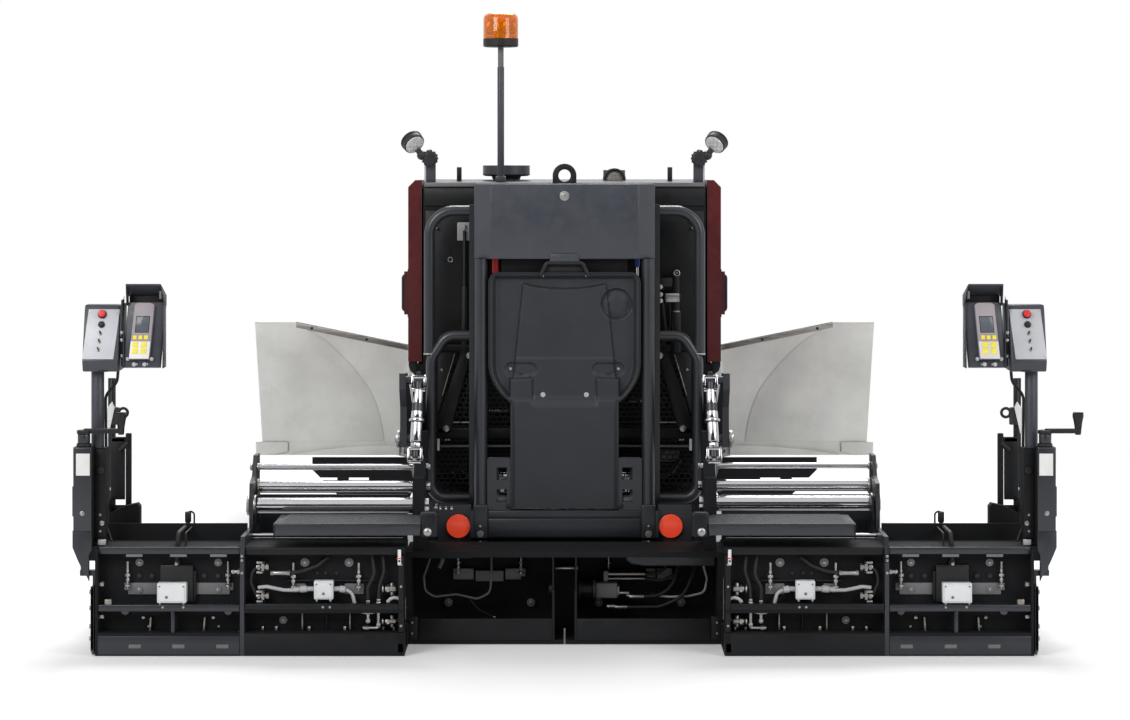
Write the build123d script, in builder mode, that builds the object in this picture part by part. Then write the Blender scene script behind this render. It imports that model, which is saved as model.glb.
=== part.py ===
from build123d import *
import math
import os

os.makedirs("parts", exist_ok=True)

# A compact tracked asphalt paver. X runs to the right, Y forwards and Z up, in millimetres, with the ground
# at Z = 0. A station is a distance forwards from the rear face of the screed extensions.

# ------------------------------------------------------------------ overall places
rear_y = -2450.0
centre_shift = -52.75  # the right crank reaches further out than the left tower
clear = 5.0  # between pieces that move past each other
play = 0.3  # between curved faces that lie beside each other
sides = (("left", -1), ("right", 1))

# ------------------------------------------------------------------ tractor
chassis_half = 310.0  # outer face of the chassis side plates
chassis_plate = 25.0
chassis_rear, chassis_front = 1010.0, 4330.0
chassis_low, chassis_high = 200.0, 560.0
floor_beams = 4
track_width, track_clear = 250.0, 15.0
track_rear, track_front = 1335.0, 3110.0  # sprocket and idler axles
track_radius = 240.0
belt_thick, pad_high, pad_long, pad_count = 26.0, 24.0, 84.0, 40
roller_radius, roller_count = 66.0, 5
tank_half, tank_high = 585.0, 990.0
tank_rear, tank_front = 960.0, 2330.0
skirt_low = 900.0
hood_half, hood_rear, hood_front = 620.0, 950.0, 2350.0
hood_wall = 10.0
roof_low, roof_high, roof_edge, roof_slope = 1690.0, 1720.0, 1700.0, 300.0
door_thick, door_low = 55.0, 1000.0
door_chamfer = 28.0
door_axis, door_hinges, hinge_pin = 2329.0, (1130.0, 1550.0), 6.0
handle_low, handle_high, handle_out = 1185.0, 1356.0, 18.0
engine_half, engine_high, engine_rear, engine_front = 350.0, 1500.0, 1200.0, 2100.0

# ------------------------------------------------------------------ station frame and console
post_rear, post_radius, post_x = 620.0, 25.0, 323.0
post_low, post_high = 345.0, 1417.0
beam_low, beam_high, beam_thick = 345.0, 449.0, 25.0
console_half, console_high = 350.0, 1706.0
console_bevel = 65.0
cover_half, cover_low, cover_high = 290.0, beam_high, 1380.0
cover_neck_half, cover_neck_high, cover_full = 208.0, 877.0, 1011.0
cover_thick = 56.0
reflector_x, reflector_z, reflector_radius = 409.0, 388.0, 46.0
rail_radius, rail_station = 21.0, 800.0
rail_x, rail_in_x = 528.0, 368.0
rail_low, rail_high, rail_bend = 1040.0, 1600.0, 95.0
knee_x, knee_in_x, knee_top_x = 521.0, 350.0, 463.0
knee_low, knee_high, knee_top, knee_bend = 476.0, 1020.0, 1112.0, 60.0
mesh_half, mesh_low, mesh_high, mesh_station = 530.0, 470.0, 1070.0, 905.0

# ------------------------------------------------------------------ hood furniture
pad_top = 1712.0  # seats of the beacon and the lamps on the sloping roof
beacon_x, beacon_station, beacon_top = -254.0, 1000.0, 2381.0
lamp_station = 963.0
lamp_x, lamp_z, lamp_radius = 599.0, 1867.0, 45.0
exhaust_x, exhaust_radius = 203.0, 45.0
intake_x, intake_radius = -238.0, 96.0
eye_z, eye_outer, eye_bore, eye_thick = 1738.0, 47.0, 24.0, 24.0

# ------------------------------------------------------------------ hopper
hopper_rear, hopper_front = 2400.0, 4550.0
wing_pivot_x, wing_pivot_z = 680.0, 520.0
wing_wall = 10.0
wing_outer, wing_outer_foot, wing_top, wing_foot = 1390.0, 1353.0, 1078.0, 482.0
wing_shoulder, wing_inner, wing_inner_top = 1205.0, 703.0, 976.0
wing_lug, wing_lug_high = 33.0, 56.0
wing_front_top = 958.0  # the outer wall falls towards the front
pin_radius, knuckle_radius = 14.0, 24.0
trough_low, trough_wall = 330.0, 12.0
shelf_low, shelf_high, shelf_half = 486.0, 498.0, 640.0
slat_pitch, slat_high = 150.0, 26.0
cylinder_gap = 210.0  # from a track's front end to its wing cylinder
cylinder_station = track_front + track_radius + cylinder_gap
cylinder_x, cylinder_z = 345.0, 270.0
cylinder_ear, cylinder_pin = 12.0, 12.0
support_station, support_thick = 2420.0, 10.0  # black plate under the rear end of each wing
support_inner, support_outer, support_high = 640.0, 1134.0, 470.0
support_knee, support_foot, support_foot_z = 414.0, 1010.0, 290.0
support_slots = ((1065.0, 86.0), (925.0, 90.0))  # middle and length
support_slot_z, support_slot_high = 372.0, 13.0
eye_pin_x, eye_pin_z = 900.0, 400.0
eye_pin_radius, eye_hole, eye_ring = 10.0, 20.0, 32.0
barrel_radius, rod_radius, barrel_short = 26.0, 18.0, 170.0
fork_gap, fork_thick = 48.0, 12.0
apron_hinge_z, apron_high, apron_half = 470.0, 330.0, 630.0
push_beam_z, push_roller_radius, push_roller_long = 330.0, 75.0, 420.0
push_front = 4900.0

# ------------------------------------------------------------------ augers
auger_station, auger_z, auger_radius, auger_end = 800.0, 200.0, 130.0, 900.0
auger_pitch, auger_shaft, flight_thick = 240.0, 32.0, 14.0
gearbox_half = 52.0

# ------------------------------------------------------------------ screed
tow_pin_station, tow_pin_z, tow_pin_radius = 2275.0, 330.0, 25.0
arm_inner, arm_thick = 600.0, 25.0
screed_half, screed_rear, screed_front = 590.0, 250.0, 550.0
sole_thick, screed_high, screed_lip, screed_wall = 14.0, 340.0, 90.0, 12.0
crown_gap, crown_half, crown_flange, crown_station = 6.0, 39.0, 7.0, 400.0
tower_inner, tower_outer, tower_high = 521.0, 565.0, 614.0
lug_high, seat_high = 765.0, 668.0
arm_pin_station, arm_pin_z = 528.0, 735.0
step_inner, step_outer, step_front, step_low, step_high = 522.0, 1055.0, 285.0, 450.0, 476.0
spindle_top = (552.0, 470.0, 963.0)
spindle_foot = (562.0, 395.0, 676.0)
spindle_radius, spindle_body = 14.0, 22.0

# ------------------------------------------------------------------ extensions
ext_inner, ext_outer, ext_front = 580.0, 1175.0, 245.0
ext_sole_high, ext_top = 83.0, 390.0
carrier_thick, carrier_high = 15.0, 429.0
front_inner, front_low, front_high, front_thick = 600.0, 200.0, 520.0, 10.0
tubes = (  # radius, height, station on the left, station on the right
    ("rod", 11.0, 639.0, 420.0, 475.0),
    ("upper tube", 22.5, 564.0, 420.0, 475.0),
    ("lower tube", 30.0, 506.0, 320.0, 392.0),
)
tube_inner = 506.0
stay_z, stay_radius = 401.0, 9.0
bolt_on_outer = 1700.0
gate_thick, gate_x = 10.0, 1706.0
gate_front, gate_high = 850.0, 300.0
head_low, head_high = 390.0, 751.0
head_inner, head_outer = 1717.0, 1784.0
head_station = 60.0
gate_rod_radius, gate_rod_top = 12.0, 600.0
gate_arm_low, gate_arm_high = 283.0, 303.0
shield_high = 450.0
bracket_inner, bracket_outer, bracket_high, bracket_low, bracket_long = 1583.0, 1698.0, 517.0, 478.0, 50.0
crank_z, crank_reach = 809.0, {"left": 135.0, "right": 120.0}
control_post_x, control_post_station, control_post_radius = 1711.0, 120.0, 22.0
holder_inner, holder_long, holder_drop = 1676.0, 58.0, 8.0


def at(station):
    """Y of a station."""
    return rear_y + station


def block(x, y, z, mode=Mode.ADD):
    """A box between pairs of limits."""
    with Locations(((x[0] + x[1]) / 2, (y[0] + y[1]) / 2, (z[0] + z[1]) / 2)):
        Box(abs(x[1] - x[0]), abs(y[1] - y[0]), abs(z[1] - z[0]), mode=mode)


def profile(plane, points, thick, mode=Mode.ADD):
    """A straight-sided outline on a plane, made thick along its normal."""
    with BuildSketch(plane) as outline:
        with BuildLine():
            Polyline(*points, close=True)
        make_face()
    extrude(outline.sketch, amount=thick, mode=mode)


def side_plate(points, x, mode=Mode.ADD):
    """An outline of (y, z) points between two X limits."""
    low, high = sorted(x)
    profile(Plane.YZ.offset(low), points, high - low, mode)


def cross_plate(points, y, mode=Mode.ADD):
    """An outline of (x, z) points between two Y limits."""
    low, high = sorted(y)
    profile(Plane.XZ.offset(-high), points, high - low, mode)


def bar(start, end, radius, mode=Mode.ADD):
    """A round bar from one point to another."""
    run = Vector(*end) - Vector(*start)
    with BuildSketch(Plane(origin=start, z_dir=run)) as section:
        Circle(radius)
    extrude(section.sketch, amount=run.length, mode=mode)


def tube_path(points, bend, radius):
    """A round tube along straight runs with one bend radius."""
    with BuildLine() as path:
        FilletPolyline(*points, radius=bend)
    start = path.line @ 0
    with BuildSketch(Plane(origin=start, z_dir=path.line % 0)) as section:
        Circle(radius)
    sweep(section.sketch, path=path.line)


def write(builder, name):
    """Put the origin midway between the sides, label a finished piece and write its file."""
    piece = builder.part.moved(Location((centre_shift, 0, 0)))
    piece.label = name
    export_step(piece, f"parts/{name}.step")


# ================================================================== tractor
for name, side in sides:
    with BuildPart() as chassis_plate_part:
        side_plate([(at(chassis_rear), chassis_low), (at(chassis_front), chassis_low),
                    (at(chassis_front), shelf_high), (at(hopper_rear - 12), shelf_high),
                    (at(hopper_rear - 12), chassis_high), (at(chassis_rear), chassis_high)],
                   (side * (chassis_half - chassis_plate), side * chassis_half))
        for ear in (-38.0, 26.0):
            block((side * chassis_half, side * (cylinder_x + 20)), (at(cylinder_station + ear),
                  at(cylinder_station + ear + cylinder_ear)), (cylinder_z - 25, cylinder_z + 25))
        bar((side * cylinder_x, at(cylinder_station - 38), cylinder_z), (side * cylinder_x,
            at(cylinder_station + 38), cylinder_z), cylinder_pin)
    write(chassis_plate_part, f"chassis_plate_{name}")

inner_half = chassis_half - chassis_plate
with BuildPart() as conveyor_floor:
    block((-inner_half, inner_half), (at(chassis_rear), at(chassis_front)), (trough_low, trough_low + trough_wall))
    for beam in range(floor_beams):
        station = chassis_rear + 390 + beam * (chassis_front - chassis_rear - 520) / (floor_beams - 1)
        block((-inner_half, inner_half), (at(station), at(station + 60)), (chassis_low + 40, trough_low))
write(conveyor_floor, "conveyor_floor")

chain_top = trough_low + trough_wall
with BuildPart() as conveyor:
    for chain_x in (-150.0, 150.0):
        block((chain_x - 25, chain_x + 25), (at(chassis_rear), at(chassis_front - 30)), (chain_top, chain_top + 18))
    slat_count = int((chassis_front - chassis_rear - 100) / slat_pitch)
    for slat in range(slat_count + 1):
        slat_y = at(chassis_rear + 30 + slat * slat_pitch)
        block((-265, 265), (slat_y, slat_y + 30), (chain_top + 4, chain_top + slat_high))
write(conveyor, "conveyor")

with BuildPart() as lower_body:
    block((-tank_half, tank_half), (at(tank_rear), at(tank_front)), (chassis_high, tank_high))
    arm_outer = arm_inner + arm_thick
    for side in (-1, 1):
        block((side * tank_half, side * (arm_outer + 30)), (at(tow_pin_station - 55), at(tank_front)),
              (chassis_high, chassis_high + 60))
        block((side * (arm_outer + 10), side * (arm_outer + 30)), (at(tow_pin_station - 55), at(tank_front)),
              (tow_pin_z - 50, chassis_high))
        bar((side * (arm_inner - 5), at(tow_pin_station), tow_pin_z), (side * (arm_outer + 10),
            at(tow_pin_station), tow_pin_z), tow_pin_radius)
        bar((side * (arm_inner - 13), at(tow_pin_station), tow_pin_z), (side * (arm_inner - 3),
            at(tow_pin_station), tow_pin_z), tow_pin_radius + 10)
write(lower_body, "lower_body")

with BuildPart() as engine:
    block((-engine_half, engine_half), (at(engine_rear), at(engine_front)), (tank_high, engine_high))
write(engine, "engine")

wall_half = hood_half - door_thick - clear
with BuildPart() as rear_wall:
    block((-wall_half, wall_half), (at(hood_rear), at(hood_rear + hood_wall)), (tank_high, roof_low))
    for side in (-1, 1):
        cross_plate([(side * wall_half, door_low - clear), (side * (tank_half - 60), skirt_low - 100),
                     (side * 480, skirt_low - 100), (side * 480, door_low - clear)],
                    (at(hood_rear), at(hood_rear + hood_wall)))
write(rear_wall, "hood_rear_wall")

with BuildPart() as front_wall:
    block((-hood_half, hood_half), (at(hood_front - hood_wall), at(hood_front)), (tank_high, roof_high))
    for side in (-1, 1):
        for hinge_z in door_hinges:
            bar((side * (hood_half + 2), at(door_axis), hinge_z - 45), (side * (hood_half + 2), at(door_axis),
                hinge_z + 45), hinge_pin)
            for lug_z in (hinge_z - 45, hinge_z + 33):
                block((side * (hood_half - 10), side * (hood_half + 10)), (at(door_axis - 8),
                      at(hood_front - hood_wall)), (lug_z, lug_z + 12))
write(front_wall, "hood_front_wall")

with BuildPart() as roof:
    roof_front = at(hood_front - hood_wall)
    side_plate([(at(hood_rear), roof_low), (roof_front, roof_low), (roof_front, roof_high),
                (at(hood_rear + roof_slope), roof_high), (at(hood_rear), roof_edge)], (-wall_half, wall_half))
    edges = [edge for edge in roof.edges().filter_by(Axis.Y) if edge.center().Z > roof_low + 1]
    chamfer(edges, 8)
    block((beacon_x - 30, beacon_x + 30), (at(beacon_station - 30), at(beacon_station + 30)), (roof_low, pad_top))
    for side in (-1, 1):
        block((side * 505, side * 557), (at(lamp_station - 8), at(lamp_station + 8)), (roof_low, pad_top))
    bar((exhaust_x, at(1300), roof_high), (exhaust_x, at(1300), roof_high + 40), exhaust_radius)
    bar((intake_x, at(1300), roof_high), (intake_x, at(1300), roof_high + 20), 55)
    bar((intake_x, at(1300), roof_high + 20), (intake_x, at(1300), roof_high + 59), intake_radius)
write(roof, "hood_roof")

for name, side in sides:
    with BuildPart() as door:
        cross_plate([(side * (hood_half - door_thick), door_low), (side * hood_half, door_low),
                     (side * hood_half, roof_high - door_chamfer),
                     (side * (hood_half - door_chamfer), roof_high),
                     (side * (hood_half - door_thick), roof_high)],
                    (at(hood_rear), at(hood_front - hood_wall - clear)))
        block((side * hood_half, side * (hood_half + handle_out)), (at(hood_rear + 40), at(hood_rear + 75)),
              (handle_low, handle_high))
        for hinge_z in door_hinges:
            block((side * (hood_half - 15), side * (hood_half + 20)), (at(door_axis - 14), at(hood_front)),
                  (hinge_z - 50, hinge_z + 50), mode=Mode.SUBTRACT)
            block((side * (hood_half - 20), side * (hood_half - 4)), (at(door_axis - 14), at(door_axis - 2)),
                  (hinge_z - 30, hinge_z + 30))
            bar((side * (hood_half + 2), at(door_axis), hinge_z - 30), (side * (hood_half + 2), at(door_axis),
                hinge_z + 30), 10)
            bar((side * (hood_half + 2), at(door_axis), hinge_z - 50), (side * (hood_half + 2), at(door_axis),
                hinge_z + 50), hinge_pin + play, mode=Mode.SUBTRACT)
    write(door, f"side_door_{name}")

with BuildPart() as beacon:
    beacon_y = at(beacon_station)
    bar((beacon_x, beacon_y, pad_top), (beacon_x, beacon_y, 2170), 13.5)
    bar((beacon_x, beacon_y, 2170), (beacon_x, beacon_y, 2250), 11.5)
    bar((beacon_x, beacon_y, 2250), (beacon_x, beacon_y, 2278), 70)
    bar((beacon_x, beacon_y, 2278), (beacon_x, beacon_y, beacon_top), 66)
    fillet(beacon.edges().filter_by(GeomType.CIRCLE).sort_by(Axis.Z)[-1], 24)
    block((beacon_x - 20, beacon_x + 20), (beacon_y - 20, beacon_y + 20), (pad_top, pad_top + 24))
write(beacon, "beacon")

for name, side in sides:
    with BuildPart() as lamp:
        block((side * 511, side * 551), (at(lamp_station - 3), at(lamp_station + 3)), (pad_top, 1840))
        bar((side * 531, at(lamp_station), 1820), (side * 575, at(lamp_station), 1850), 12)
        bar((side * (lamp_x - 30), at(990), lamp_z + 22), (side * lamp_x, at(940), lamp_z), lamp_radius)
    write(lamp, f"work_lamp_{name}")

# ================================================================== station frame and console
post_y = at(post_rear + post_radius + 8)
for name, side in sides:
    with BuildPart() as post:
        bar((side * post_x, post_y, post_low), (side * post_x, post_y, post_high), post_radius)
        block((side * (post_x - 25), side * (post_x + 38)), (at(post_rear), at(post_rear + 70)),
              (post_low, beam_high))
        block((side * (inner_half + 2), side * (inner_half + 40)), (at(post_rear + 60), at(chassis_rear)),
              (post_low, beam_high - 10))
        block((side * (post_x + 38), side * 490), (at(post_rear + 30), at(post_rear + 38)), (316, 470))
        bar((side * reflector_x, at(post_rear + 30), reflector_z), (side * reflector_x, at(post_rear + 22),
            reflector_z), reflector_radius)
    write(post, f"station_post_{name}")

with BuildPart() as beam:
    block((-(post_x - 25), post_x - 25), (at(post_rear + 10), at(post_rear + 10 + beam_thick)), (beam_low, beam_high))
    for side in (-1, 1):
        plate_y = (at(post_rear + 20), at(post_rear + 26))
        block((side * 209, side * (post_x - 25)), plate_y, (beam_high, 650))
        for window_z in (505, 590):
            block((side * 222, side * 262), plate_y, (window_z - 24, window_z + 24), mode=Mode.SUBTRACT)
write(beam, "station_beam")

with BuildPart() as console:
    console_rear = at(post_rear)
    flat_half = console_half - console_bevel
    with BuildSketch(Plane.XY.offset(post_high)) as plan:
        with BuildLine():
            Polyline((-console_half, at(hood_rear)), (console_half, at(hood_rear)),
                     (console_half, console_rear + console_bevel), (flat_half, console_rear),
                     (-flat_half, console_rear), (-console_half, console_rear + console_bevel), close=True)
        make_face()
    extrude(amount=console_high - post_high)
    with BuildSketch(Plane.XZ.offset(-at(hood_rear - 60))) as eye:
        with Locations((0, eye_z)):
            Circle(eye_outer)
            Circle(eye_bore, mode=Mode.SUBTRACT)
    extrude(amount=eye_thick)
write(console, "console_box")

with BuildPart() as cover:
    with BuildSketch(Plane.XZ.offset(-at(post_rear + 10))) as face:
        with BuildLine():
            Polyline((-cover_half, cover_high), (cover_half, cover_high), (cover_half, cover_full),
                     (cover_neck_half, cover_neck_high), (cover_neck_half, cover_low),
                     (-cover_neck_half, cover_low), (-cover_neck_half, cover_neck_high),
                     (-cover_half, cover_full), close=True)
        make_face()
        fillet(face.vertices(), 30)
    extrude(amount=-cover_thick)
    for side in (-1, 1):
        block((side * cover_neck_half, side * 300), (at(post_rear + 15), at(post_rear + 31)),
              (cover_low, 660), mode=Mode.SUBTRACT)
write(cover, "moulded_cover")

for name, side in sides:
    rail_y = at(rail_station)
    with BuildPart() as rail:
        tube_path([(side * rail_x, rail_y, rail_low), (side * rail_x, rail_y, rail_high),
                   (side * rail_in_x, rail_y, rail_high)], rail_bend, rail_radius)
        tube_path([(side * rail_in_x, rail_y, knee_top), (side * knee_top_x, rail_y, knee_top),
                   (side * knee_x, rail_y, knee_high), (side * knee_x, rail_y, knee_low),
                   (side * knee_in_x, rail_y, knee_low)], knee_bend, rail_radius)
        block((side * console_half, side * 372), (rail_y - 26, rail_y + 26), (455, 1625))
    write(rail, f"handrail_{name}")

with BuildPart() as mesh:
    block((-mesh_half, mesh_half), (at(mesh_station), at(mesh_station + 8)), (mesh_low, mesh_high))
    for stud_x in (-450.0, 450.0):
        for stud_z in (620.0, 940.0):
            bar((stud_x, at(mesh_station + 8), stud_z), (stud_x, at(tank_rear), stud_z), 12)
write(mesh, "rear_guard")

# ================================================================== tracks
track_inner = chassis_half + track_clear
track_length = track_front - track_rear
belt_outer = track_radius - pad_high
loop_length = 2 * track_length + 2 * math.pi * belt_outer


def loop_place(distance):
    """Y, Z and slope in degrees of a point along the belt's outer face."""
    half_turn = math.pi * belt_outer
    if distance < track_length:
        return at(track_rear) + distance, track_radius - belt_outer, 180.0
    distance -= track_length
    if distance < half_turn:
        turn = distance / belt_outer
        return (at(track_front) + belt_outer * math.sin(turn), track_radius - belt_outer * math.cos(turn),
                180.0 + math.degrees(turn))
    distance -= half_turn
    if distance < track_length:
        return at(track_front) - distance, track_radius + belt_outer, 0.0
    turn = (distance - track_length) / belt_outer
    return (at(track_rear) - belt_outer * math.sin(turn), track_radius + belt_outer * math.cos(turn),
            math.degrees(turn))


for name, side in sides:
    with BuildPart() as track:
        low_x = min(side * track_inner, side * (track_inner + track_width))
        with BuildSketch(Plane.YZ.offset(low_x)) as loop:
            with Locations(((at(track_rear) + at(track_front)) / 2, track_radius)):
                SlotCenterToCenter(track_length, 2 * belt_outer)
            for pad in range(pad_count):
                pad_y, pad_z, slope = loop_place(pad * loop_length / pad_count)
                with Locations(Location((pad_y, pad_z), slope)):
                    with Locations((0, pad_high / 2 - 1)):
                        Rectangle(pad_long, pad_high + 2)
            with Locations(((at(track_rear) + at(track_front)) / 2, track_radius)):
                SlotCenterToCenter(track_length, 2 * (belt_outer - belt_thick), mode=Mode.SUBTRACT)
        extrude(amount=track_width)
    write(track, f"track_{name}")
    with BuildPart() as bogie:
        wheel = belt_outer - belt_thick - play
        wheel_x = (side * (track_inner + 40), side * (track_inner + track_width - 40))
        for wheel_station in (track_rear, track_front):
            bar((wheel_x[0], at(wheel_station), track_radius), (wheel_x[1], at(wheel_station), track_radius), wheel)
        block((side * chassis_half, side * (track_inner + 160)), (at(track_rear + wheel + 20),
              at(track_front - wheel - 20)), (track_radius + 5, track_radius + 95))
        block((side * chassis_half, side * (track_inner + 35)), (at(track_rear), at(track_front)),
              (track_radius - 25, track_radius + 60))
        roller_z = track_radius - wheel + roller_radius
        spread = track_length - 2 * (wheel + roller_radius + 20)
        for roller in range(roller_count):
            roller_y = at(track_rear + wheel + roller_radius + 20 + roller * spread / (roller_count - 1))
            bar((wheel_x[0], roller_y, roller_z), (wheel_x[1], roller_y, roller_z), roller_radius)
            block((side * (track_inner + 60), side * (track_inner + 160)), (roller_y - 30, roller_y + 30),
                  (roller_z, track_radius + 10))
        for wheel_station in (track_rear, track_front):
            bar((side * chassis_half, at(wheel_station), track_radius), (wheel_x[0], at(wheel_station), track_radius),
                50)
    write(bogie, f"track_frame_{name}")

# ================================================================== hopper
for name, side in sides:
    with BuildPart() as shelf:
        block((side * chassis_half, side * shelf_half), (at(hopper_rear - 20), at(hopper_front)),
              (shelf_low, shelf_high))
        block((side * inner_half, side * chassis_half), (at(chassis_front), at(hopper_front)),
              (trough_low, shelf_high))
        bar((side * wing_pivot_x, at(hopper_rear - 40), wing_pivot_z), (side * wing_pivot_x, at(hopper_front + 6),
            wing_pivot_z), pin_radius)
        for lug_station in (hopper_rear - 34.0, hopper_front - 9.0):
            block((side * (shelf_half - 30), side * (wing_pivot_x + 14)), (at(lug_station), at(lug_station + 14)),
                  (shelf_low, wing_pivot_z + 8))
        support_y = (at(support_station), at(support_station + support_thick))
        cross_plate([(side * support_inner, support_high), (side * support_outer, support_high),
                     (side * support_outer, support_knee), (side * support_foot, support_foot_z),
                     (side * (support_inner + 55), support_foot_z), (side * support_inner, support_knee)], support_y)
        block((side * (support_inner - 30), side * support_inner), support_y, (support_high - 30, shelf_low))
        for middle, long in support_slots:
            block((side * (middle - long / 2), side * (middle + long / 2)), support_y,
                  (support_slot_z - support_slot_high / 2, support_slot_z + support_slot_high / 2),
                  mode=Mode.SUBTRACT)
    write(shelf, f"hopper_base_{name}")

    with BuildPart() as wing:
        rear_outline = [(side * 730, wing_foot), (side * (wing_outer_foot + wing_lug - 18), wing_foot),
                        (side * (wing_outer_foot + wing_lug), wing_foot + 14),
                        (side * (wing_outer_foot + wing_lug), wing_foot + wing_lug_high),
                        (side * (wing_outer_foot + 2), wing_foot + wing_lug_high + 3), (side * wing_outer, wing_top),
                        (side * wing_shoulder, wing_top), (side * wing_inner, wing_inner_top),
                        (side * wing_inner, 560), (side * 730, 540)]
        cross_plate(rear_outline, (at(hopper_rear + clear), at(hopper_rear + clear + wing_wall)))
        front_outline = [(side * 730, wing_foot), (side * wing_outer_foot, wing_foot), (side * (wing_outer - 8), 950),
                         (side * 1080, 800), (side * wing_inner, 700), (side * wing_inner, 560), (side * 730, 540)]
        cross_plate(front_outline, (at(hopper_front - 24), at(hopper_front - 14)))
        cross_plate([(side * 730, wing_foot), (side * wing_outer_foot, wing_foot),
                     (side * wing_outer, wing_top), (side * (wing_outer - wing_wall), wing_top),
                     (side * (wing_outer_foot - wing_wall), wing_foot + 22), (side * 730, wing_foot + 22)],
                    (at(hopper_rear + clear), at(hopper_front - 14)))
        side_plate([(at(hopper_rear + clear + wing_wall), wing_top), (at(hopper_rear + clear + wing_wall), wing_top + 1),
                    (at(hopper_front), wing_top + 1), (at(hopper_front), wing_front_top)],
                   (side * (wing_outer - 40), side * (wing_outer + 1)), mode=Mode.SUBTRACT)
        block((side * (wing_pivot_x + 20), side * 735), (at(hopper_rear + clear), at(hopper_front - 14)),
              (wing_pivot_z - 12, wing_pivot_z + 2))
        block((side * 723, side * 735), (at(hopper_rear + clear), at(hopper_front - 14)),
              (wing_foot, wing_pivot_z + 2))
        with BuildSketch(Plane.XZ.offset(-at(hopper_front - 14))) as knuckle:
            with Locations((side * wing_pivot_x, wing_pivot_z)):
                Circle(knuckle_radius)
        extrude(amount=hopper_front - 14 - hopper_rear - clear)
        with BuildSketch(Plane.XZ.offset(-at(hopper_front))) as knuckle_bore:
            with Locations((side * wing_pivot_x, wing_pivot_z)):
                Circle(pin_radius + play)
        extrude(amount=hopper_front - hopper_rear, mode=Mode.SUBTRACT)
        fork_half = fork_gap / 2
        for ear in (-fork_half - fork_thick, fork_half):
            block((side * (eye_pin_x - 26), side * (eye_pin_x + 26)), (at(cylinder_station + ear),
                  at(cylinder_station + ear + fork_thick)), (eye_pin_z - 22, wing_foot))
        bar((side * eye_pin_x, at(cylinder_station - fork_half - fork_thick), eye_pin_z),
            (side * eye_pin_x, at(cylinder_station + fork_half + fork_thick), eye_pin_z), eye_pin_radius)
    write(wing, f"hopper_wing_{name}")

    start = Vector(side * cylinder_x, at(cylinder_station), cylinder_z)
    end = Vector(side * eye_pin_x, at(cylinder_station), eye_pin_z)
    run = (end - start).normalized()
    reach = (end - start).length
    with BuildPart() as barrel:
        bar(tuple(start), tuple(start + run * 60), 18)
        bar(tuple(start + run * 55), tuple(start + run * (reach - barrel_short)), barrel_radius)
        bar(tuple(start + run * 70), tuple(end), rod_radius + play, mode=Mode.SUBTRACT)
        bar((side * cylinder_x, at(cylinder_station - 22), cylinder_z), (side * cylinder_x,
            at(cylinder_station + 22), cylinder_z), 28)
        bar((side * cylinder_x, at(cylinder_station - 30), cylinder_z), (side * cylinder_x,
            at(cylinder_station + 30), cylinder_z), cylinder_pin + play, mode=Mode.SUBTRACT)
    write(barrel, f"wing_cylinder_{name}")
    with BuildPart() as rod:
        bar(tuple(start + run * 80), tuple(end), rod_radius)
        bar((side * eye_pin_x, at(cylinder_station - fork_half + 6), eye_pin_z), (side * eye_pin_x,
            at(cylinder_station + fork_half - 6), eye_pin_z), eye_ring)
        bar((side * eye_pin_x, at(cylinder_station - fork_half), eye_pin_z), (side * eye_pin_x,
            at(cylinder_station + fork_half), eye_pin_z), eye_hole, mode=Mode.SUBTRACT)
    write(rod, f"wing_rod_{name}")

with BuildPart() as bulkhead:
    cross_plate([(-wing_pivot_x - 20, 560), (wing_pivot_x + 20, 560), (wing_pivot_x + 20, 976),
                 (520, 1010), (-520, 1010), (-wing_pivot_x - 20, 976)], (at(hopper_rear - 12), at(hopper_rear)))
    block((-inner_half, inner_half), (at(hood_front), at(hopper_rear - 12)), (700, 940))
    for side in (-1, 1):
        block((side * (inner_half + 60), side * (shelf_half - 60)), (at(hopper_rear - 12), at(hopper_rear)),
              (shelf_high, 560))
write(bulkhead, "hopper_bulkhead")

apron_y = at(hopper_front + 40)
with BuildPart() as apron:
    block((-apron_half, apron_half), (apron_y - 6, apron_y + 6), (apron_hinge_z + 20, apron_hinge_z + apron_high))
    bar((-apron_half, apron_y, apron_hinge_z), (apron_half, apron_y, apron_hinge_z), 22)
    block((-apron_half, apron_half), (apron_y - 6, apron_y + 6), (apron_hinge_z + 10, apron_hinge_z + 30))
    bar((-apron_half - 20, apron_y, apron_hinge_z), (apron_half + 20, apron_y, apron_hinge_z), 12 + play,
        mode=Mode.SUBTRACT)
write(apron, "front_apron")

with BuildPart() as front_beam:
    block((-620, 620), (at(hopper_front), at(hopper_front + 12)), (300, apron_hinge_z - 40))
    block((-inner_half, inner_half), (at(chassis_front), at(hopper_front)), (340, 400))
    block((-inner_half, inner_half), (at(hopper_front - 80), at(hopper_front)), (400, 430))
    bar((-apron_half - 12, apron_y, apron_hinge_z), (apron_half + 12, apron_y, apron_hinge_z), 12)
    for side in (-1, 1):
        block((side * (apron_half + 2), side * (apron_half + 14)), (at(hopper_front), apron_y + 16),
              (300, apron_hinge_z + 16))
        block((side * 600, side * (apron_half + 14)), (at(hopper_front), at(hopper_front + 12)),
              (300, apron_hinge_z - 40))
    block((-40, 40), (at(hopper_front + 12), at(push_front - 2 * push_roller_radius - 60)), (280, 400))
    beam_front = push_front - 2 * push_roller_radius - 20
    block((-520, 520), (at(beam_front - 60), at(beam_front)), (270, 390))
    roller_y = at(push_front - push_roller_radius)
    for arm_x in (-500.0, 0.0, 500.0):
        block((arm_x - 10, arm_x + 10), (at(beam_front), roller_y + 30), (290, 370))
    bar((-505, roller_y, push_beam_z), (505, roller_y, push_beam_z), 20)
write(front_beam, "push_beam")

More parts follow.
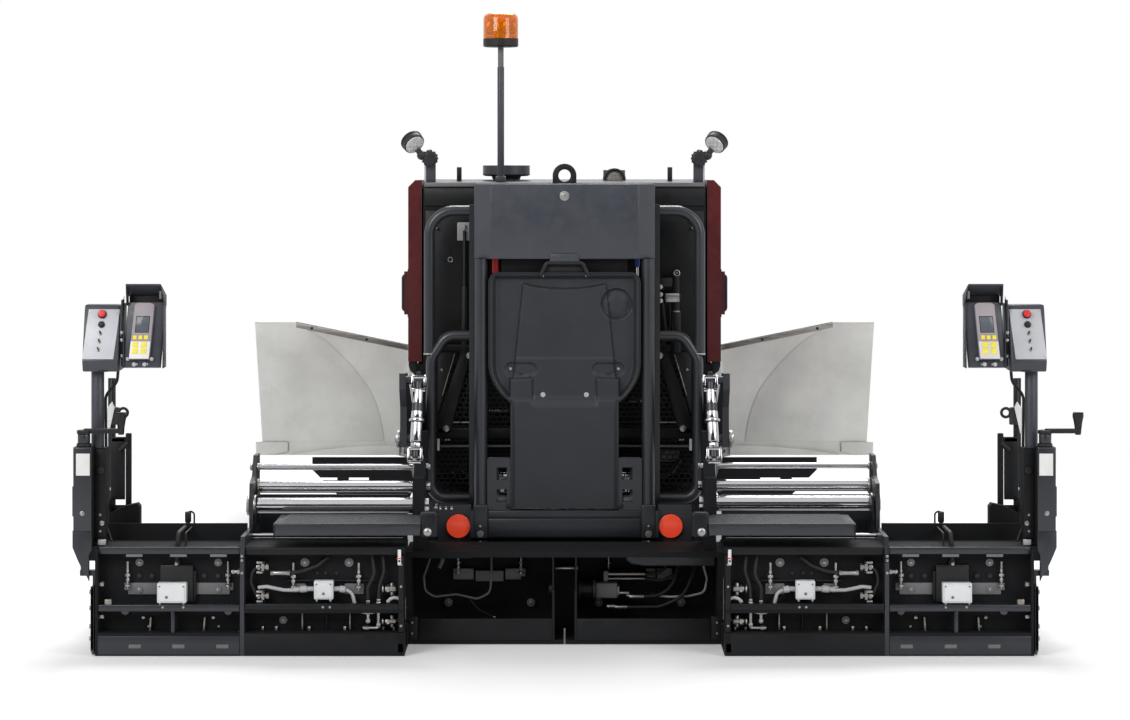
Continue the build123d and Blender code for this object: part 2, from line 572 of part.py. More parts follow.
for name, side in sides:
    with BuildPart() as push_roller:
        roller_mid = side * 250
        bar((roller_mid - push_roller_long / 2, roller_y, push_beam_z), (roller_mid + push_roller_long / 2,
            roller_y, push_beam_z), push_roller_radius)
        bar((roller_mid - push_roller_long, roller_y, push_beam_z), (roller_mid + push_roller_long, roller_y,
            push_beam_z), 20 + play, mode=Mode.SUBTRACT)
    write(push_roller, f"push_roller_{name}")

# ================================================================== augers
auger_y = at(auger_station)
with BuildPart() as gearbox:
    block((-gearbox_half, gearbox_half), (auger_y - 70, auger_y + 70), (auger_z - 80, auger_z + 80))
    block((-35, 35), (auger_y - 20, auger_y + 40), (auger_z + 80, trough_low))
    block((-35, 35), (auger_y - 20, at(chassis_rear)), (trough_low, trough_low + trough_wall + 20))
    bar((-gearbox_half - 40, auger_y, auger_z), (gearbox_half + 40, auger_y, auger_z), 16)
write(gearbox, "auger_gearbox")

for name, side in sides:
    with BuildPart() as auger:
        inner = gearbox_half + clear
        bar((side * inner, auger_y, auger_z), (side * auger_end, auger_y, auger_z), auger_shaft)
        turns = int((auger_end - inner - 60) / auger_pitch)
        start_x = inner + 30
        for blade in range(turns * 2):
            blade_x = side * (start_x + blade * auger_pitch / 2)
            lean = 18 if blade % 2 == 0 else -18
            with Locations(Location((blade_x + side * 40, auger_y, auger_z), (0, 90 + lean, 0))):
                Cylinder(auger_radius, flight_thick)
        bar((side * (inner - 1), auger_y, auger_z), (side * (inner + 45), auger_y, auger_z), 16 + play,
            mode=Mode.SUBTRACT)
    write(auger, f"auger_{name}")

# ================================================================== screed
with BuildPart() as screed:
    for side in (-1, 1):
        block((side * crown_gap / 2, side * screed_half), (at(screed_rear), at(screed_front)), (0, sole_thick))
        inner, inside = crown_half + crown_flange, (at(screed_rear + screed_wall), at(screed_front - screed_wall))
        block((side * crown_half, side * screed_half), (at(screed_rear), at(screed_rear + screed_wall)),
              (sole_thick, screed_lip))
        block((side * crown_half, side * screed_half), (at(screed_front - screed_wall), at(screed_front)),
              (sole_thick, screed_high))
        block((side * (screed_half - 20), side * screed_half), inside, (sole_thick, screed_high))
        block((side * crown_half, side * inner), inside, (sole_thick, screed_high))
        tower_rear = step_front + clear
        side_plate([(at(tower_rear), screed_high - 10), (at(screed_front), screed_high - 10),
                    (at(screed_front), lug_high),
                    (at(screed_front - 60), lug_high), (at(screed_front - 100), seat_high),
                    (at(tower_rear + 90), seat_high), (at(tower_rear + 60), tower_high),
                    (at(screed_rear + 10), tower_high), (at(screed_rear + 10), step_high + clear),
                    (at(tower_rear), step_high + clear)],
                   (side * tower_inner, side * tower_outer))
    block((-screed_half, screed_half), (at(screed_rear + screed_wall), at(screed_front)),
          (screed_high - 20, screed_high))
    block((-inner, inner), (at(crown_station), at(crown_station + screed_wall)), (sole_thick + 20, screed_high))
    for side, column in ((-1, 3), (1, 4)):
        for tube in tubes:
            bar((side * (tower_inner - 5), at(tube[column]), tube[2]), (side * (tower_outer + 5), at(tube[column]),
                tube[2]), tube[1] + play, mode=Mode.SUBTRACT)
write(screed, "main_screed")

for name, side in sides:
    with BuildPart() as arm:
        pin_y, head_y = at(tow_pin_station), at(arm_pin_station)
        side_plate([(at(spindle_top[1] - 30), 990), (head_y + 30, 985), (at(950), 800), (at(1500), 590),
                    (pin_y + 45, 380), (pin_y + 45, 285), (pin_y - 60, 275), (at(1500), 450), (at(950), 640),
                    (head_y + 60, 705), (head_y - 28, 705), (head_y - 28, 860), (at(spindle_top[1] - 30), 930)],
                   (side * arm_inner, side * (arm_inner + arm_thick)))
        bar((side * (arm_inner - 5), pin_y, tow_pin_z), (side * (arm_inner + arm_thick + 5), pin_y, tow_pin_z),
            tow_pin_radius + play, mode=Mode.SUBTRACT)
        bar((side * tower_outer, head_y, arm_pin_z), (side * (arm_inner + arm_thick + 12), head_y, arm_pin_z), 20)
        bar((side * (spindle_top[0] - 22), at(spindle_top[1]), spindle_top[2]), (side * arm_inner,
            at(spindle_top[1]), spindle_top[2]), 16)
        top = Vector(side * spindle_top[0], at(spindle_top[1]), spindle_top[2])
        foot = Vector(side * spindle_foot[0], at(spindle_foot[1]), spindle_foot[2])
        bar(tuple(foot), tuple(top), spindle_radius)
        bar(tuple(foot + (top - foot) * 0.3), tuple(foot + (top - foot) * 0.7), spindle_body)
    write(arm, f"tow_arm_{name}")
    with BuildPart() as step:
        block((side * step_inner, side * step_outer), (at(0), at(step_front)), (step_high - 6, step_high))
        block((side * step_inner, side * step_outer), (at(0), at(8)), (step_low, step_high - 6))
        block((side * step_inner, side * step_outer), (at(step_front - 8), at(step_front)), (step_low, step_high - 6))
        block((side * (tower_inner + 2), side * (tower_outer - 10)), (at(step_front - 60),
              at(step_front + clear)), (step_low, step_high))
    write(step, f"step_{name}")

# ================================================================== extensions
for (name, side), column in zip(sides, (3, 4)):
    with BuildPart() as extension:
        x = (side * ext_inner, side * (ext_outer - carrier_thick))
        block(x, (at(0), at(ext_front)), (0, sole_thick))
        block(x, (at(0), at(60)), (sole_thick, ext_sole_high))
        block(x, (at(ext_front - 60), at(ext_front)), (sole_thick, ext_sole_high))
        block(x, (at(70), at(82)), (sole_thick, ext_top - 25))
        block(x, (at(20), at(ext_front)), (ext_top - 25, ext_top))
        block(x, (at(0), at(82)), (155, 165))
    write(extension, f"extension_{name}")
    with BuildPart() as carrier:
        front_y = (at(screed_front + clear), at(screed_front + clear + front_thick))
        block((side * front_inner, side * ext_outer), front_y, (front_low, front_high))
        block((side * (ext_outer - carrier_thick), side * ext_outer), (at(500), front_y[1]),
              (front_low + 140, front_high))
        side_plate([(at(0), 0), (at(ext_front), 0), (at(ext_front), 335), (at(520), 335), (at(520), 682),
                    (at(430), 682), (at(380), 610), (at(300), 590), (at(290), 540), (at(290), carrier_high),
                    (at(20), carrier_high), (at(0), 335)],
                   (side * (ext_outer - carrier_thick), side * ext_outer))
    write(carrier, f"carrier_{name}")
    with BuildPart() as guide_tubes:
        for tube in tubes:
            bar((side * tube_inner, at(tube[column]), tube[2]), (side * (ext_outer - carrier_thick),
                at(tube[column]), tube[2]), tube[1])
        bar((side * (screed_half + 10), at(screed_rear + 15), stay_z), (side * (ext_outer - carrier_thick),
            at(screed_rear + 15), stay_z), stay_radius)
    write(guide_tubes, f"guide_tubes_{name}")
    with BuildPart() as bolt_on:
        x = (side * ext_outer, side * (bolt_on_outer - 10))
        block(x, (at(0), at(ext_front)), (0, sole_thick))
        block(x, (at(0), at(60)), (sole_thick, ext_sole_high))
        block(x, (at(ext_front - 60), at(ext_front)), (sole_thick, ext_sole_high))
        block(x, (at(70), at(82)), (sole_thick, ext_top - 25))
        block(x, (at(20), at(ext_front)), (ext_top - 25, ext_top))
        block(x, (at(ext_front - 10), at(ext_front)), (ext_top, shield_high))
        block((side * (bolt_on_outer - 10), side * bolt_on_outer), (at(0), at(ext_front)), (0, ext_top - 10))
        bracket_y = at(step_front + clear + 2)
        block((side * bracket_inner, side * bracket_outer), (at(ext_front - 2), bracket_y + 10),
              (ext_top - 30, step_low - 10))
        cross_plate([(side * bracket_outer, ext_top - 30), (side * bracket_inner, ext_top - 30),
                     (side * bracket_inner, bracket_high - 12), (side * (bracket_inner + 10), bracket_high),
                     (side * (bracket_inner + 55), bracket_high - 10), (side * bracket_outer, bracket_low)],
                    (bracket_y, bracket_y + bracket_long))
        block((side * (bolt_on_outer - 10), side * head_outer), (at(30), at(180)), (ext_top - 10, head_low))
        block((side * head_inner, side * head_outer), (at(head_station - 30), at(head_station + 30)),
              (head_low, head_high))
        cross_plate([(side * bolt_on_outer, head_low), (side * head_outer, head_low),
                     (side * (head_outer - 18), 339), (side * (head_outer - 36), 303), (side * (head_outer - 50), 282),
                     (side * (head_outer - 56), 267), (side * (gate_x + gate_thick + 10), 267),
                     (side * (gate_x + gate_thick + 10), head_low - 50), (side * bolt_on_outer, head_low - 50)],
                    (at(head_station - 30), at(head_station - 22)))
        block((side * holder_inner, side * (control_post_x + control_post_radius)), (at(head_station + 30),
              at(head_station + 30 + holder_long)), (head_low, head_high - holder_drop))
        head_x = side * (head_inner + head_outer) / 2
        bar((head_x, at(head_station), head_high), (head_x, at(head_station), crank_z), 22)
        grip_x = head_x + crank_reach[name]
        bar((head_x, at(head_station), crank_z), (grip_x, at(head_station), crank_z), 8)
        with Locations((grip_x, at(head_station), crank_z + 28)):
            Cone(10, 19, 78)
        bar((head_x, at(head_station), ext_top - 20), (head_x, at(head_station), head_high - 40),
            gate_rod_radius + play, mode=Mode.SUBTRACT)
    write(bolt_on, f"bolt_on_{name}")
    with BuildPart() as control:
        bar((side * control_post_x, at(control_post_station), head_high - holder_drop), (side * control_post_x,
            at(control_post_station), 1027), control_post_radius)
        side_plate([(at(50), 1058), (at(62), 1027), (at(175), 1027), (at(175), 1268), (at(112), 1268),
                    (at(50), 1066)], (side * 1623, side * 1758))
        side_plate([(at(70), 1034), (at(150), 1034), (at(150), 1342), (at(70), 1342)], (side * 1462, side * 1612))
        side_plate([(at(60), 1240), (at(125), 1240), (at(125), 1330), (at(60), 1330)],
                   (side * 1468, side * 1606), mode=Mode.SUBTRACT)
        block((side * 1612, side * 1623), (at(100), at(130)), (1100, 1140))
    write(control, f"control_station_{name}")
    with BuildPart() as gate:
        side_plate([(at(0), 20), (at(30), 0), (at(gate_front - 60), 0), (at(gate_front), 60),
                    (at(gate_front), 240), (at(gate_front - 40), gate_high), (at(300), gate_high),
                    (at(240), gate_high - 50), (at(0), gate_high - 50)],
                   (side * gate_x, side * (gate_x + gate_thick)))
        head_x = side * (head_inner + head_outer) / 2
        block((side * gate_x, side * (gate_x + gate_thick)), (at(head_station - 15), at(head_station + 15)),
              (gate_high - 60, gate_arm_high))
        block((side * gate_x, head_x + side * gate_rod_radius), (at(head_station - 15), at(head_station + 15)),
              (gate_arm_low, gate_arm_high))
        bar((head_x, at(head_station), gate_arm_low), (head_x, at(head_station), gate_rod_top), gate_rod_radius)
        block((side * 1690, side * 1718), (at(396), at(404)), (gate_high - 20, 976))
        block((side * gate_x, side * (gate_x + gate_thick)), (at(330), at(470)), (gate_high - 10, 520))
        block((side * (gate_x - 30), side * (gate_x + gate_thick)), (at(ext_front + 15), at(gate_front - 80)), (0, 12))
    write(gate, f"end_gate_{name}")
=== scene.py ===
"""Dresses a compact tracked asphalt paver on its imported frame. Metres, X to the right, Y forwards, Z up."""
import math

import bpy
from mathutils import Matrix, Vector


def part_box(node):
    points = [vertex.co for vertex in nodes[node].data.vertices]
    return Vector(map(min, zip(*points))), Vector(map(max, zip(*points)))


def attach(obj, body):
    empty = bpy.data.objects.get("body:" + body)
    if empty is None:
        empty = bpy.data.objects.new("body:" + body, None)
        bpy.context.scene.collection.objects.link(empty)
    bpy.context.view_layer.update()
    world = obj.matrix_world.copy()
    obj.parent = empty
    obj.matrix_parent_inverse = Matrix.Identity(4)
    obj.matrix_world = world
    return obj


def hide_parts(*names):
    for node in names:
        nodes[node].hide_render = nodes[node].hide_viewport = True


bl_info = {"name": "Asphalt paver", "version": (1, 0, 0), "blender": (4, 5, 0),
    "location": "View3D > Sidebar > Paver",
    "description": "Builds the looks of a compact tracked asphalt paver", "category": "Object"}

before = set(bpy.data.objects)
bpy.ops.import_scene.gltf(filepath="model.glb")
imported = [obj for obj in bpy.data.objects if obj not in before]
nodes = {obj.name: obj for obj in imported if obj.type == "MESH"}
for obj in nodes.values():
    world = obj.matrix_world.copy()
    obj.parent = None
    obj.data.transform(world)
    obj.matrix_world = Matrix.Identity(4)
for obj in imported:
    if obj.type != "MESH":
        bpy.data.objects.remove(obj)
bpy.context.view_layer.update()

SIDES = (("left", -1), ("right", 1))
REAR = -2.45  # Y of the rear face of the screed extensions, where stations are counted from
# X of the machine's middle plane. Pieces are made about X = 0, and group moves them there.
CENTRE = -0.05275
REARWARD = (0, -1, 0)  # the way that the heads of rear-facing screws look


def at(station):
    """Y of a station, a distance forwards from the rear of the screed extensions."""
    return REAR + station


AUGER_Y, AUGER_Z = at(0.800), 0.200  # the axis that both augers turn on
HEATER_WALL = at(0.070)  # rear face of the extensions' heated boxes
PIPE_Y = HEATER_WALL - 0.030  # where the pipes run along them


def box(node):
    """A node's lowest and highest corners, with X counted from the machine's middle plane."""
    low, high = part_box(node)
    return Vector((low[0] - CENTRE, low[1], low[2])), Vector((high[0] - CENTRE, high[1], high[2]))


# ------------------------------------------------------------------ settings
class PaverSizes(bpy.types.PropertyGroup):
    """Sizes of the dressed pieces."""
    guard_cell: bpy.props.FloatProperty(name="Guard cell",
        description="Width of one opening of the rear guard", default=0.024, unit="LENGTH")
    guard_bar: bpy.props.FloatProperty(name="Guard bar",
        description="Width of the metal between two openings", default=0.005, unit="LENGTH")
    tread_pitch: bpy.props.FloatProperty(name="Tread pitch", description="Spacing of the grips on the steps",
        default=0.019, unit="LENGTH")
    stud_radius: bpy.props.FloatProperty(name="Stud radius",
        description="Radius of the round studs of the screed", default=0.016, unit="LENGTH")
    hose_radius: bpy.props.FloatProperty(name="Hose radius", description="Radius of the hydraulic hoses",
        default=0.009, unit="LENGTH")
    cover_wall: bpy.props.FloatProperty(name="Cover wall", description="Wall of the moulded cover",
        default=0.005, unit="LENGTH")


def colour(name, description, value):
    """A colour setting."""
    return bpy.props.FloatVectorProperty(name=name, description=description, subtype="COLOR", size=3, min=0.0,
        max=1.0, default=value)


class PaverColours(bpy.types.PropertyGroup):
    """Colours of the finishes, linear."""
    slate: colour("Slate", "Paint of the frames, posts and console", (0.040, 0.044, 0.054))
    black: colour("Black", "Paint of the screed and the lower body", (0.008, 0.0085, 0.0095))
    maroon: colour("Maroon", "Paint of the side doors", (0.085, 0.008, 0.010))
    hopper: colour("Hopper", "Paint of the hopper", (0.66, 0.66, 0.635))
    plastic: colour("Plastic", "Moulded cover", (0.0245, 0.0265, 0.0315))
    reflector: colour("Reflector", "Round rear reflectors", (0.95, 0.075, 0.030))
    amber: colour("Amber", "Beacon lens", (0.85, 0.30, 0.02))
    panel: colour("Panel", "Front plate of the hand controls", (0.46, 0.465, 0.49))


# ------------------------------------------------------------------ materials
def new_material(name):
    """A node material with its tree, its shader and Object coordinates."""
    made = bpy.data.materials.new(name)
    made.use_nodes = True
    tree = made.node_tree
    shader = tree.nodes["Principled BSDF"]
    place = tree.nodes.new("ShaderNodeTexCoord")
    return made, tree, shader, place.outputs["Object"]


def noise(tree, place, scale, detail=3.0, roughness=0.55):
    """A noise texture's value."""
    made = tree.nodes.new("ShaderNodeTexNoise")
    made.inputs["Scale"].default_value = scale
    made.inputs["Detail"].default_value = detail
    made.inputs["Roughness"].default_value = roughness
    tree.links.new(place, made.inputs["Vector"])
    return made.outputs["Fac"]


def spread(tree, value, low, high, start=0.3, end=0.7):
    """A value stretched from one range to another."""
    made = tree.nodes.new("ShaderNodeMapRange")
    made.inputs["From Min"].default_value = start
    made.inputs["From Max"].default_value = end
    made.inputs["To Min"].default_value = low
    made.inputs["To Max"].default_value = high
    tree.links.new(value, made.inputs["Value"])
    return made.outputs["Result"]


def tint(tree, value, first, second):
    """A colour between two, chosen by a value."""
    made = tree.nodes.new("ShaderNodeMix")
    made.data_type = "RGBA"
    made.inputs["A"].default_value = (*first, 1)
    made.inputs["B"].default_value = (*second, 1)
    tree.links.new(value, made.inputs["Factor"])
    return made.outputs["Result"]


def bump(tree, shader, value, strength, distance=0.001):
    """Relief on the surface from a value."""
    made = tree.nodes.new("ShaderNodeBump")
    made.inputs["Strength"].default_value = strength
    made.inputs["Distance"].default_value = distance
    tree.links.new(value, made.inputs["Height"])
    tree.links.new(made.outputs["Normal"], shader.inputs["Normal"])


def shade(base, amount):
    """A colour made lighter or darker."""
    return tuple(min(1.0, channel * amount) for channel in base)


def paint(name, base, roughness=0.42, dust=0.12, dust_colour=(0.30, 0.28, 0.25), shine=0.35, patchy=1.0):
    """Sprayed paint: slight mottle, orange peel and a trace of dust in random patches."""
    made, tree, shader, place = new_material(name)
    mottle = tint(tree, spread(tree, noise(tree, place, 3.5, 5.0), 0.0, 1.0), shade(base, 0.86),
        shade(base, 1.14))
    grime = spread(tree, noise(tree, place, 11.0, 8.0, 0.7), 0.0, dust, 0.50, 0.80)
    mixed = tree.nodes.new("ShaderNodeMix")
    mixed.data_type = "RGBA"
    tree.links.new(grime, mixed.inputs["Factor"])
    tree.links.new(mottle, mixed.inputs["A"])
    mixed.inputs["B"].default_value = (*dust_colour, 1)
    tree.links.new(mixed.outputs["Result"], shader.inputs["Base Color"])
    tree.links.new(spread(tree, noise(tree, place, 28.0, 4.0), roughness - 0.07 * patchy,
        roughness + 0.09 * patchy), shader.inputs["Roughness"])
    shader.inputs["Specular IOR Level"].default_value = shine
    bump(tree, shader, noise(tree, place, 420.0, 2.0), 0.10 * patchy, 0.0006)
    return made


def steel(name, base, roughness, streak=60.0, wear=0.10, relief=0.05):
    """Bare or plated metal with fine drawn streaks."""
    made, tree, shader, place = new_material(name)
    stretch = tree.nodes.new("ShaderNodeMapping")
    stretch.inputs["Scale"].default_value = (0.25, 1.0, 6.0)
    tree.links.new(place, stretch.inputs["Vector"])
    lines = noise(tree, stretch.outputs["Vector"], streak, 4.0)
    tree.links.new(tint(tree, spread(tree, lines, 0.0, 1.0), shade(base, 1.0 - wear),
        shade(base, 1.0 + wear)), shader.inputs["Base Color"])
    tree.links.new(spread(tree, noise(tree, place, 35.0, 4.0), roughness * 0.75, roughness * 1.3),
        shader.inputs["Roughness"])
    shader.inputs["Metallic"].default_value = 1.0
    bump(tree, shader, lines, relief, 0.0004)
    return made


def plastic(name, base, roughness, grain=900.0, strength=0.22, shine=0.30):
    """Moulded plastic with a fine grain."""
    made, tree, shader, place = new_material(name)
    tree.links.new(tint(tree, spread(tree, noise(tree, place, 6.0, 4.0), 0.0, 1.0), shade(base, 0.90),
        shade(base, 1.10)), shader.inputs["Base Color"])
    tree.links.new(spread(tree, noise(tree, place, 45.0, 3.0), roughness - 0.05, roughness + 0.07),
        shader.inputs["Roughness"])
    shader.inputs["Specular IOR Level"].default_value = shine
    bump(tree, shader, noise(tree, place, grain, 2.0), strength, 0.0005)
    return made


def rubber(name, base):
    """Track rubber, dusty in patches."""
    made, tree, shader, place = new_material(name)
    tree.links.new(tint(tree, spread(tree, noise(tree, place, 14.0, 7.0, 0.7), 0.0, 0.5, 0.45, 0.8), base,
        (0.16, 0.15, 0.13)), shader.inputs["Base Color"])
    shader.inputs["Roughness"].default_value = 0.82
    shader.inputs["Specular IOR Level"].default_value = 0.2
    bump(tree, shader, noise(tree, place, 160.0, 5.0), 0.35, 0.0012)
    return made


def cells(name, base, scale, roughness, strength, coat=0.6, painted_glow=0.0):
    """A lens or reflector moulded in small cells, which can be given a painted glow."""
    made, tree, shader, place = new_material(name)
    honeycomb = tree.nodes.new("ShaderNodeTexVoronoi")
    honeycomb.inputs["Scale"].default_value = scale
    honeycomb.inputs["Randomness"].default_value = 0.15
    tree.links.new(place, honeycomb.inputs["Vector"])
    value = honeycomb.outputs["Distance"]
    tree.links.new(tint(tree, spread(tree, value, 0.0, 1.0, 0.1, 0.6), shade(base, 1.05), shade(base, 0.72)),
        shader.inputs["Base Color"])
    shader.inputs["Roughness"].default_value = roughness
    shader.inputs["Coat Weight"].default_value = coat
    # painted glow: with a strength above nought the cells give off their own colour as light, though they are
    # no lamp
    shader.inputs["Emission Color"].default_value = (*base, 1)
    shader.inputs["Emission Strength"].default_value = painted_glow
    bump(tree, shader, value, strength, 0.001)
    return made


def tread(name, base):
    """Step plate: paint worn bright in random patches."""
    made, tree, shader, place = new_material(name)
    worn = spread(tree, noise(tree, place, 70.0, 6.0, 0.7), 0.0, 0.55, 0.45, 0.75)
    tree.links.new(tint(tree, worn, base, (0.11, 0.11, 0.12)), shader.inputs["Base Color"])
    shader.inputs["Roughness"].default_value = 0.62
    bump(tree, shader, noise(tree, place, 600.0, 4.0), 0.5, 0.001)
    return made


def clear_amber(name, base):
    """Clear coloured lens."""
    made, tree, shader, place = new_material(name)
    tree.links.new(tint(tree, spread(tree, noise(tree, place, 30.0), 0.0, 1.0), base, shade(base, 1.15)),
        shader.inputs["Base Color"])
    shader.inputs["Roughness"].default_value = 0.06
    shader.inputs["Transmission Weight"].default_value = 0.75
    shader.inputs["IOR"].default_value = 1.45
    return made


MADE = {}


def finish(name):
    """A finish by its name, made once."""
    return MADE[name]


def make_finishes(colours):
    """Every finish of the machine."""
    MADE.update({"slate": paint("slate_paint", tuple(colours.slate), 0.38, 0.04),
        "frame": paint("frame_paint", shade(tuple(colours.slate), 0.50), 0.33, 0.02, shine=0.50, patchy=0.3),
        "matte": paint("matte_black", shade(tuple(colours.black), 0.90), 0.70, 0.05, (0.04, 0.04, 0.04),
        0.15), "black": paint("black_paint", tuple(colours.black), 0.42, 0.04, (0.05, 0.05, 0.05), 0.22),
        "maroon": paint("maroon_paint", tuple(colours.maroon), 0.34, 0.04),
        "hopper": paint("hopper_paint", tuple(colours.hopper), 0.50, 0.30, (0.42, 0.40, 0.36)),
        "chrome": steel("chrome", (0.50, 0.50, 0.52), 0.15, 90.0, 0.03, 0.002),
        "zinc": steel("zinc", (0.36, 0.36, 0.365), 0.38, 60.0, 0.12),
        "grey": paint("grey_primer", (0.13, 0.13, 0.135), 0.45, 0.10),
        "worn": steel("worn_steel", (0.30, 0.28, 0.26), 0.45, 25.0, 0.25),
        "iron": paint("engine_paint", (0.09, 0.09, 0.10), 0.5, 0.2),
        "cover": plastic("charcoal_plastic", tuple(colours.plastic), 0.46),
        "soft_black": plastic("black_plastic", (0.012, 0.012, 0.013), 0.50),
        "housing": plastic("lamp_housing", (0.020, 0.020, 0.022), 0.42, 500.0, 0.12),
        "box_white": plastic("box_plastic", (0.62, 0.63, 0.64), 0.45, 700.0, 0.10),
        "conduit": plastic("conduit_plastic", (0.38, 0.38, 0.39), 0.50, 300.0, 0.15),
        "red": plastic("red_plastic", (0.62, 0.03, 0.03), 0.35, 500.0, 0.05),
        "blue": plastic("blue_plastic", (0.02, 0.05, 0.22), 0.40, 500.0, 0.05),
        "yellow": plastic("yellow_keys", (0.80, 0.66, 0.06), 0.50, 500.0, 0.05),
        "screen": plastic("screen", (0.10, 0.11, 0.13), 0.15, 300.0, 0.02),
        "device": plastic("device_plastic", (0.30, 0.27, 0.29), 0.48, 700.0, 0.10),
        "panel": paint("panel_paint", tuple(colours.panel), 0.35, 0.05),
        "label": paint("blank_label", (0.66, 0.66, 0.65), 0.40, 0.05),
        # the reflectors get a painted glow of their own red, which stands in for the light they send back
        "reflector": cells("reflector", tuple(colours.reflector), 150.0, 0.25, 0.5, 0.3, 0.28),
        "lens": cells("lamp_lens", (0.75, 0.76, 0.74), 70.0, 0.10, 0.4, 1.0),
        "amber": clear_amber("amber_lens", tuple(colours.amber)),
        "rubber": rubber("track_rubber", (0.018, 0.018, 0.018)),
        "tread": tread("tread_plate", (0.028, 0.030, 0.034)),
        "hose": plastic("hose_rubber", (0.012, 0.012, 0.012), 0.55, 350.0, 0.3),})


# ------------------------------------------------------------------ modelling helpers
def deselect():
    """Select nothing."""
    bpy.ops.object.select_all(action="DESELECT")


def pick(*objects):
    """Select these objects only, the last of them active."""
    deselect()
    for thing in objects:
        thing.select_set(True)
    bpy.context.view_layer.objects.active = objects[-1]


def edit(piece):
    """Open a piece for editing, with all of it selected."""
    pick(piece)
    bpy.ops.object.mode_set(mode="EDIT")
    bpy.ops.mesh.select_all(action="SELECT")


def close_outward():
    """Turn every face of the opened piece outwards, and leave editing."""
    bpy.ops.mesh.select_all(action="SELECT")
    bpy.ops.mesh.normals_make_consistent(inside=False)
    bpy.ops.object.mode_set(mode="OBJECT")


def apply_all(piece):
    """Apply every modifier of a piece."""
    pick(piece)
    for modifier in list(piece.modifiers):
        bpy.ops.object.modifier_apply(modifier=modifier.name)


def bevelled(piece, width, segments=2, angle=35.0):
    """Round the sharp edges of a piece."""
    if width > 0:
        modifier = piece.modifiers.new("round", "BEVEL")
        modifier.width = width
        modifier.segments = segments
        modifier.limit_method = "ANGLE"
        modifier.angle_limit = math.radians(angle)
        apply_all(piece)
    return piece


def placed(piece, look, smooth=35.0):
    """Put a piece's place into its mesh, shade it and give it its finish."""
    pick(piece)
    bpy.ops.object.transform_apply(location=True, rotation=True, scale=True)
    if smooth:
        bpy.ops.object.shade_smooth_by_angle(angle=math.radians(smooth))
    piece.data.materials.clear()
    piece.data.materials.append(finish(look))
    return piece


def block(x, y, z, look, width=0.004, segments=2):
    """A box between pairs of limits, its edges rounded."""
    deselect()
    centre = [(low + high) / 2 for low, high in (x, y, z)]
    bpy.ops.mesh.primitive_cube_add(size=1, location=centre)
    piece = bpy.context.object
    piece.scale = [abs(high - low) for low, high in (x, y, z)]
    bpy.ops.object.transform_apply(location=True, rotation=True, scale=True)
    return placed(bevelled(piece, width, segments), look)


def side_block(side, x, stations, z, look, width=0.004, segments=2):
    """A box on one side of the machine, between distances out from the middle and between stations."""
    return block([side * value for value in x], [at(value) for value in stations], z, look, width, segments)


def mirrored(side, *points):
    """Points on one side of the machine, from (distance out from the middle, y, z)."""
    return [(side * out, y, z) for out, y, z in points]


def in_plane(side, y, *points):
    """Points on one side of the machine in a plane across it, from (distance out from the middle, z)."""
    return [(side * out, y, z) for out, z in points]


def side_points(side, *places):
    """Points on one side of the machine, from (distance out from the middle, station, height)."""
    return [(side * out, at(station), height) for out, station, height in places]


def cylinder(start, end, radius, sides):
    """A bare cylinder from one point to another."""
    deselect()
    start, end = Vector(start), Vector(end)
    turn = (end - start).to_track_quat("Z", "Y").to_euler()
    bpy.ops.mesh.primitive_cylinder_add(radius=radius, depth=(end - start).length, vertices=sides,
        location=(start + end) / 2, rotation=turn)
    return bpy.context.object


def rod(start, end, radius, look, width=0.002, sides=32, segments=2):
    """A round or many-sided bar from one point to another, its ends rounded."""
    piece = cylinder(start, end, radius, sides)
    bpy.ops.object.transform_apply(location=True, rotation=True, scale=True)
    return placed(bevelled(piece, width, segments, 50.0), look)


def side_rod(side, x, y, z, radius, look, width=0.002, sides=32, segments=2):
    """A rod on one side; each of x (the distance out), y and z is one value, or where it starts and ends."""
    start, end = zip(*[value if isinstance(value, tuple) else (value, value) for value in (x, y, z)])
    return rod((side * start[0], *start[1:]), (side * end[0], *end[1:]), radius, look, width, sides, segments)


def ball(centre, radius, look, squash=(1, 1, 1)):
    """A smooth ball, squashed along the axes."""
    deselect()
    bpy.ops.mesh.primitive_uv_sphere_add(segments=28, ring_count=16, radius=radius, location=centre)
    piece = bpy.context.object
    piece.scale = squash
    return placed(piece, look, 60.0)


def ring(centre, direction, radius, wire, look):
    """A torus about a direction."""
    deselect()
    turn = Vector(direction).to_track_quat("Z", "Y").to_euler()
    bpy.ops.mesh.primitive_torus_add(major_radius=radius, minor_radius=wire, major_segments=36,
        minor_segments=12, location=centre, rotation=turn)
    return placed(bpy.context.object, look, 60.0)


def sheet_piece(outline, push, look, width=0.002, holes=(), segments=2):
    """A flat outline of 3-D points, pushed along a vector, with cylinders of (centre, radius) cut through."""
    deselect()
    bpy.ops.mesh.primitive_circle_add(vertices=len(outline), fill_type="NGON")
    piece = bpy.context.object
    for vertex, point in zip(piece.data.vertices, outline):
        vertex.co = point
    edit(piece)
    bpy.ops.mesh.extrude_region_move(TRANSFORM_OT_translate={"value": tuple(push)})
    close_outward()
    for centre, radius in holes:
        cut(piece, Vector(centre) - Vector(push), Vector(centre) + 2 * Vector(push), radius)
    return placed(bevelled(piece, width, segments), look)


def cut(piece, start, end, radius, sides=32):
    """Drill a piece from one point to another."""
    subtract(piece, cylinder(start, end, radius, sides))


def subtract(piece, tool):
    """Take one solid from another, and delete the tool."""
    modifier = piece.modifiers.new("cut", "BOOLEAN")
    modifier.operation = "DIFFERENCE"
    modifier.solver = "EXACT"
    modifier.object = tool
    apply_all(piece)
    bpy.data.objects.remove(tool)
    return piece


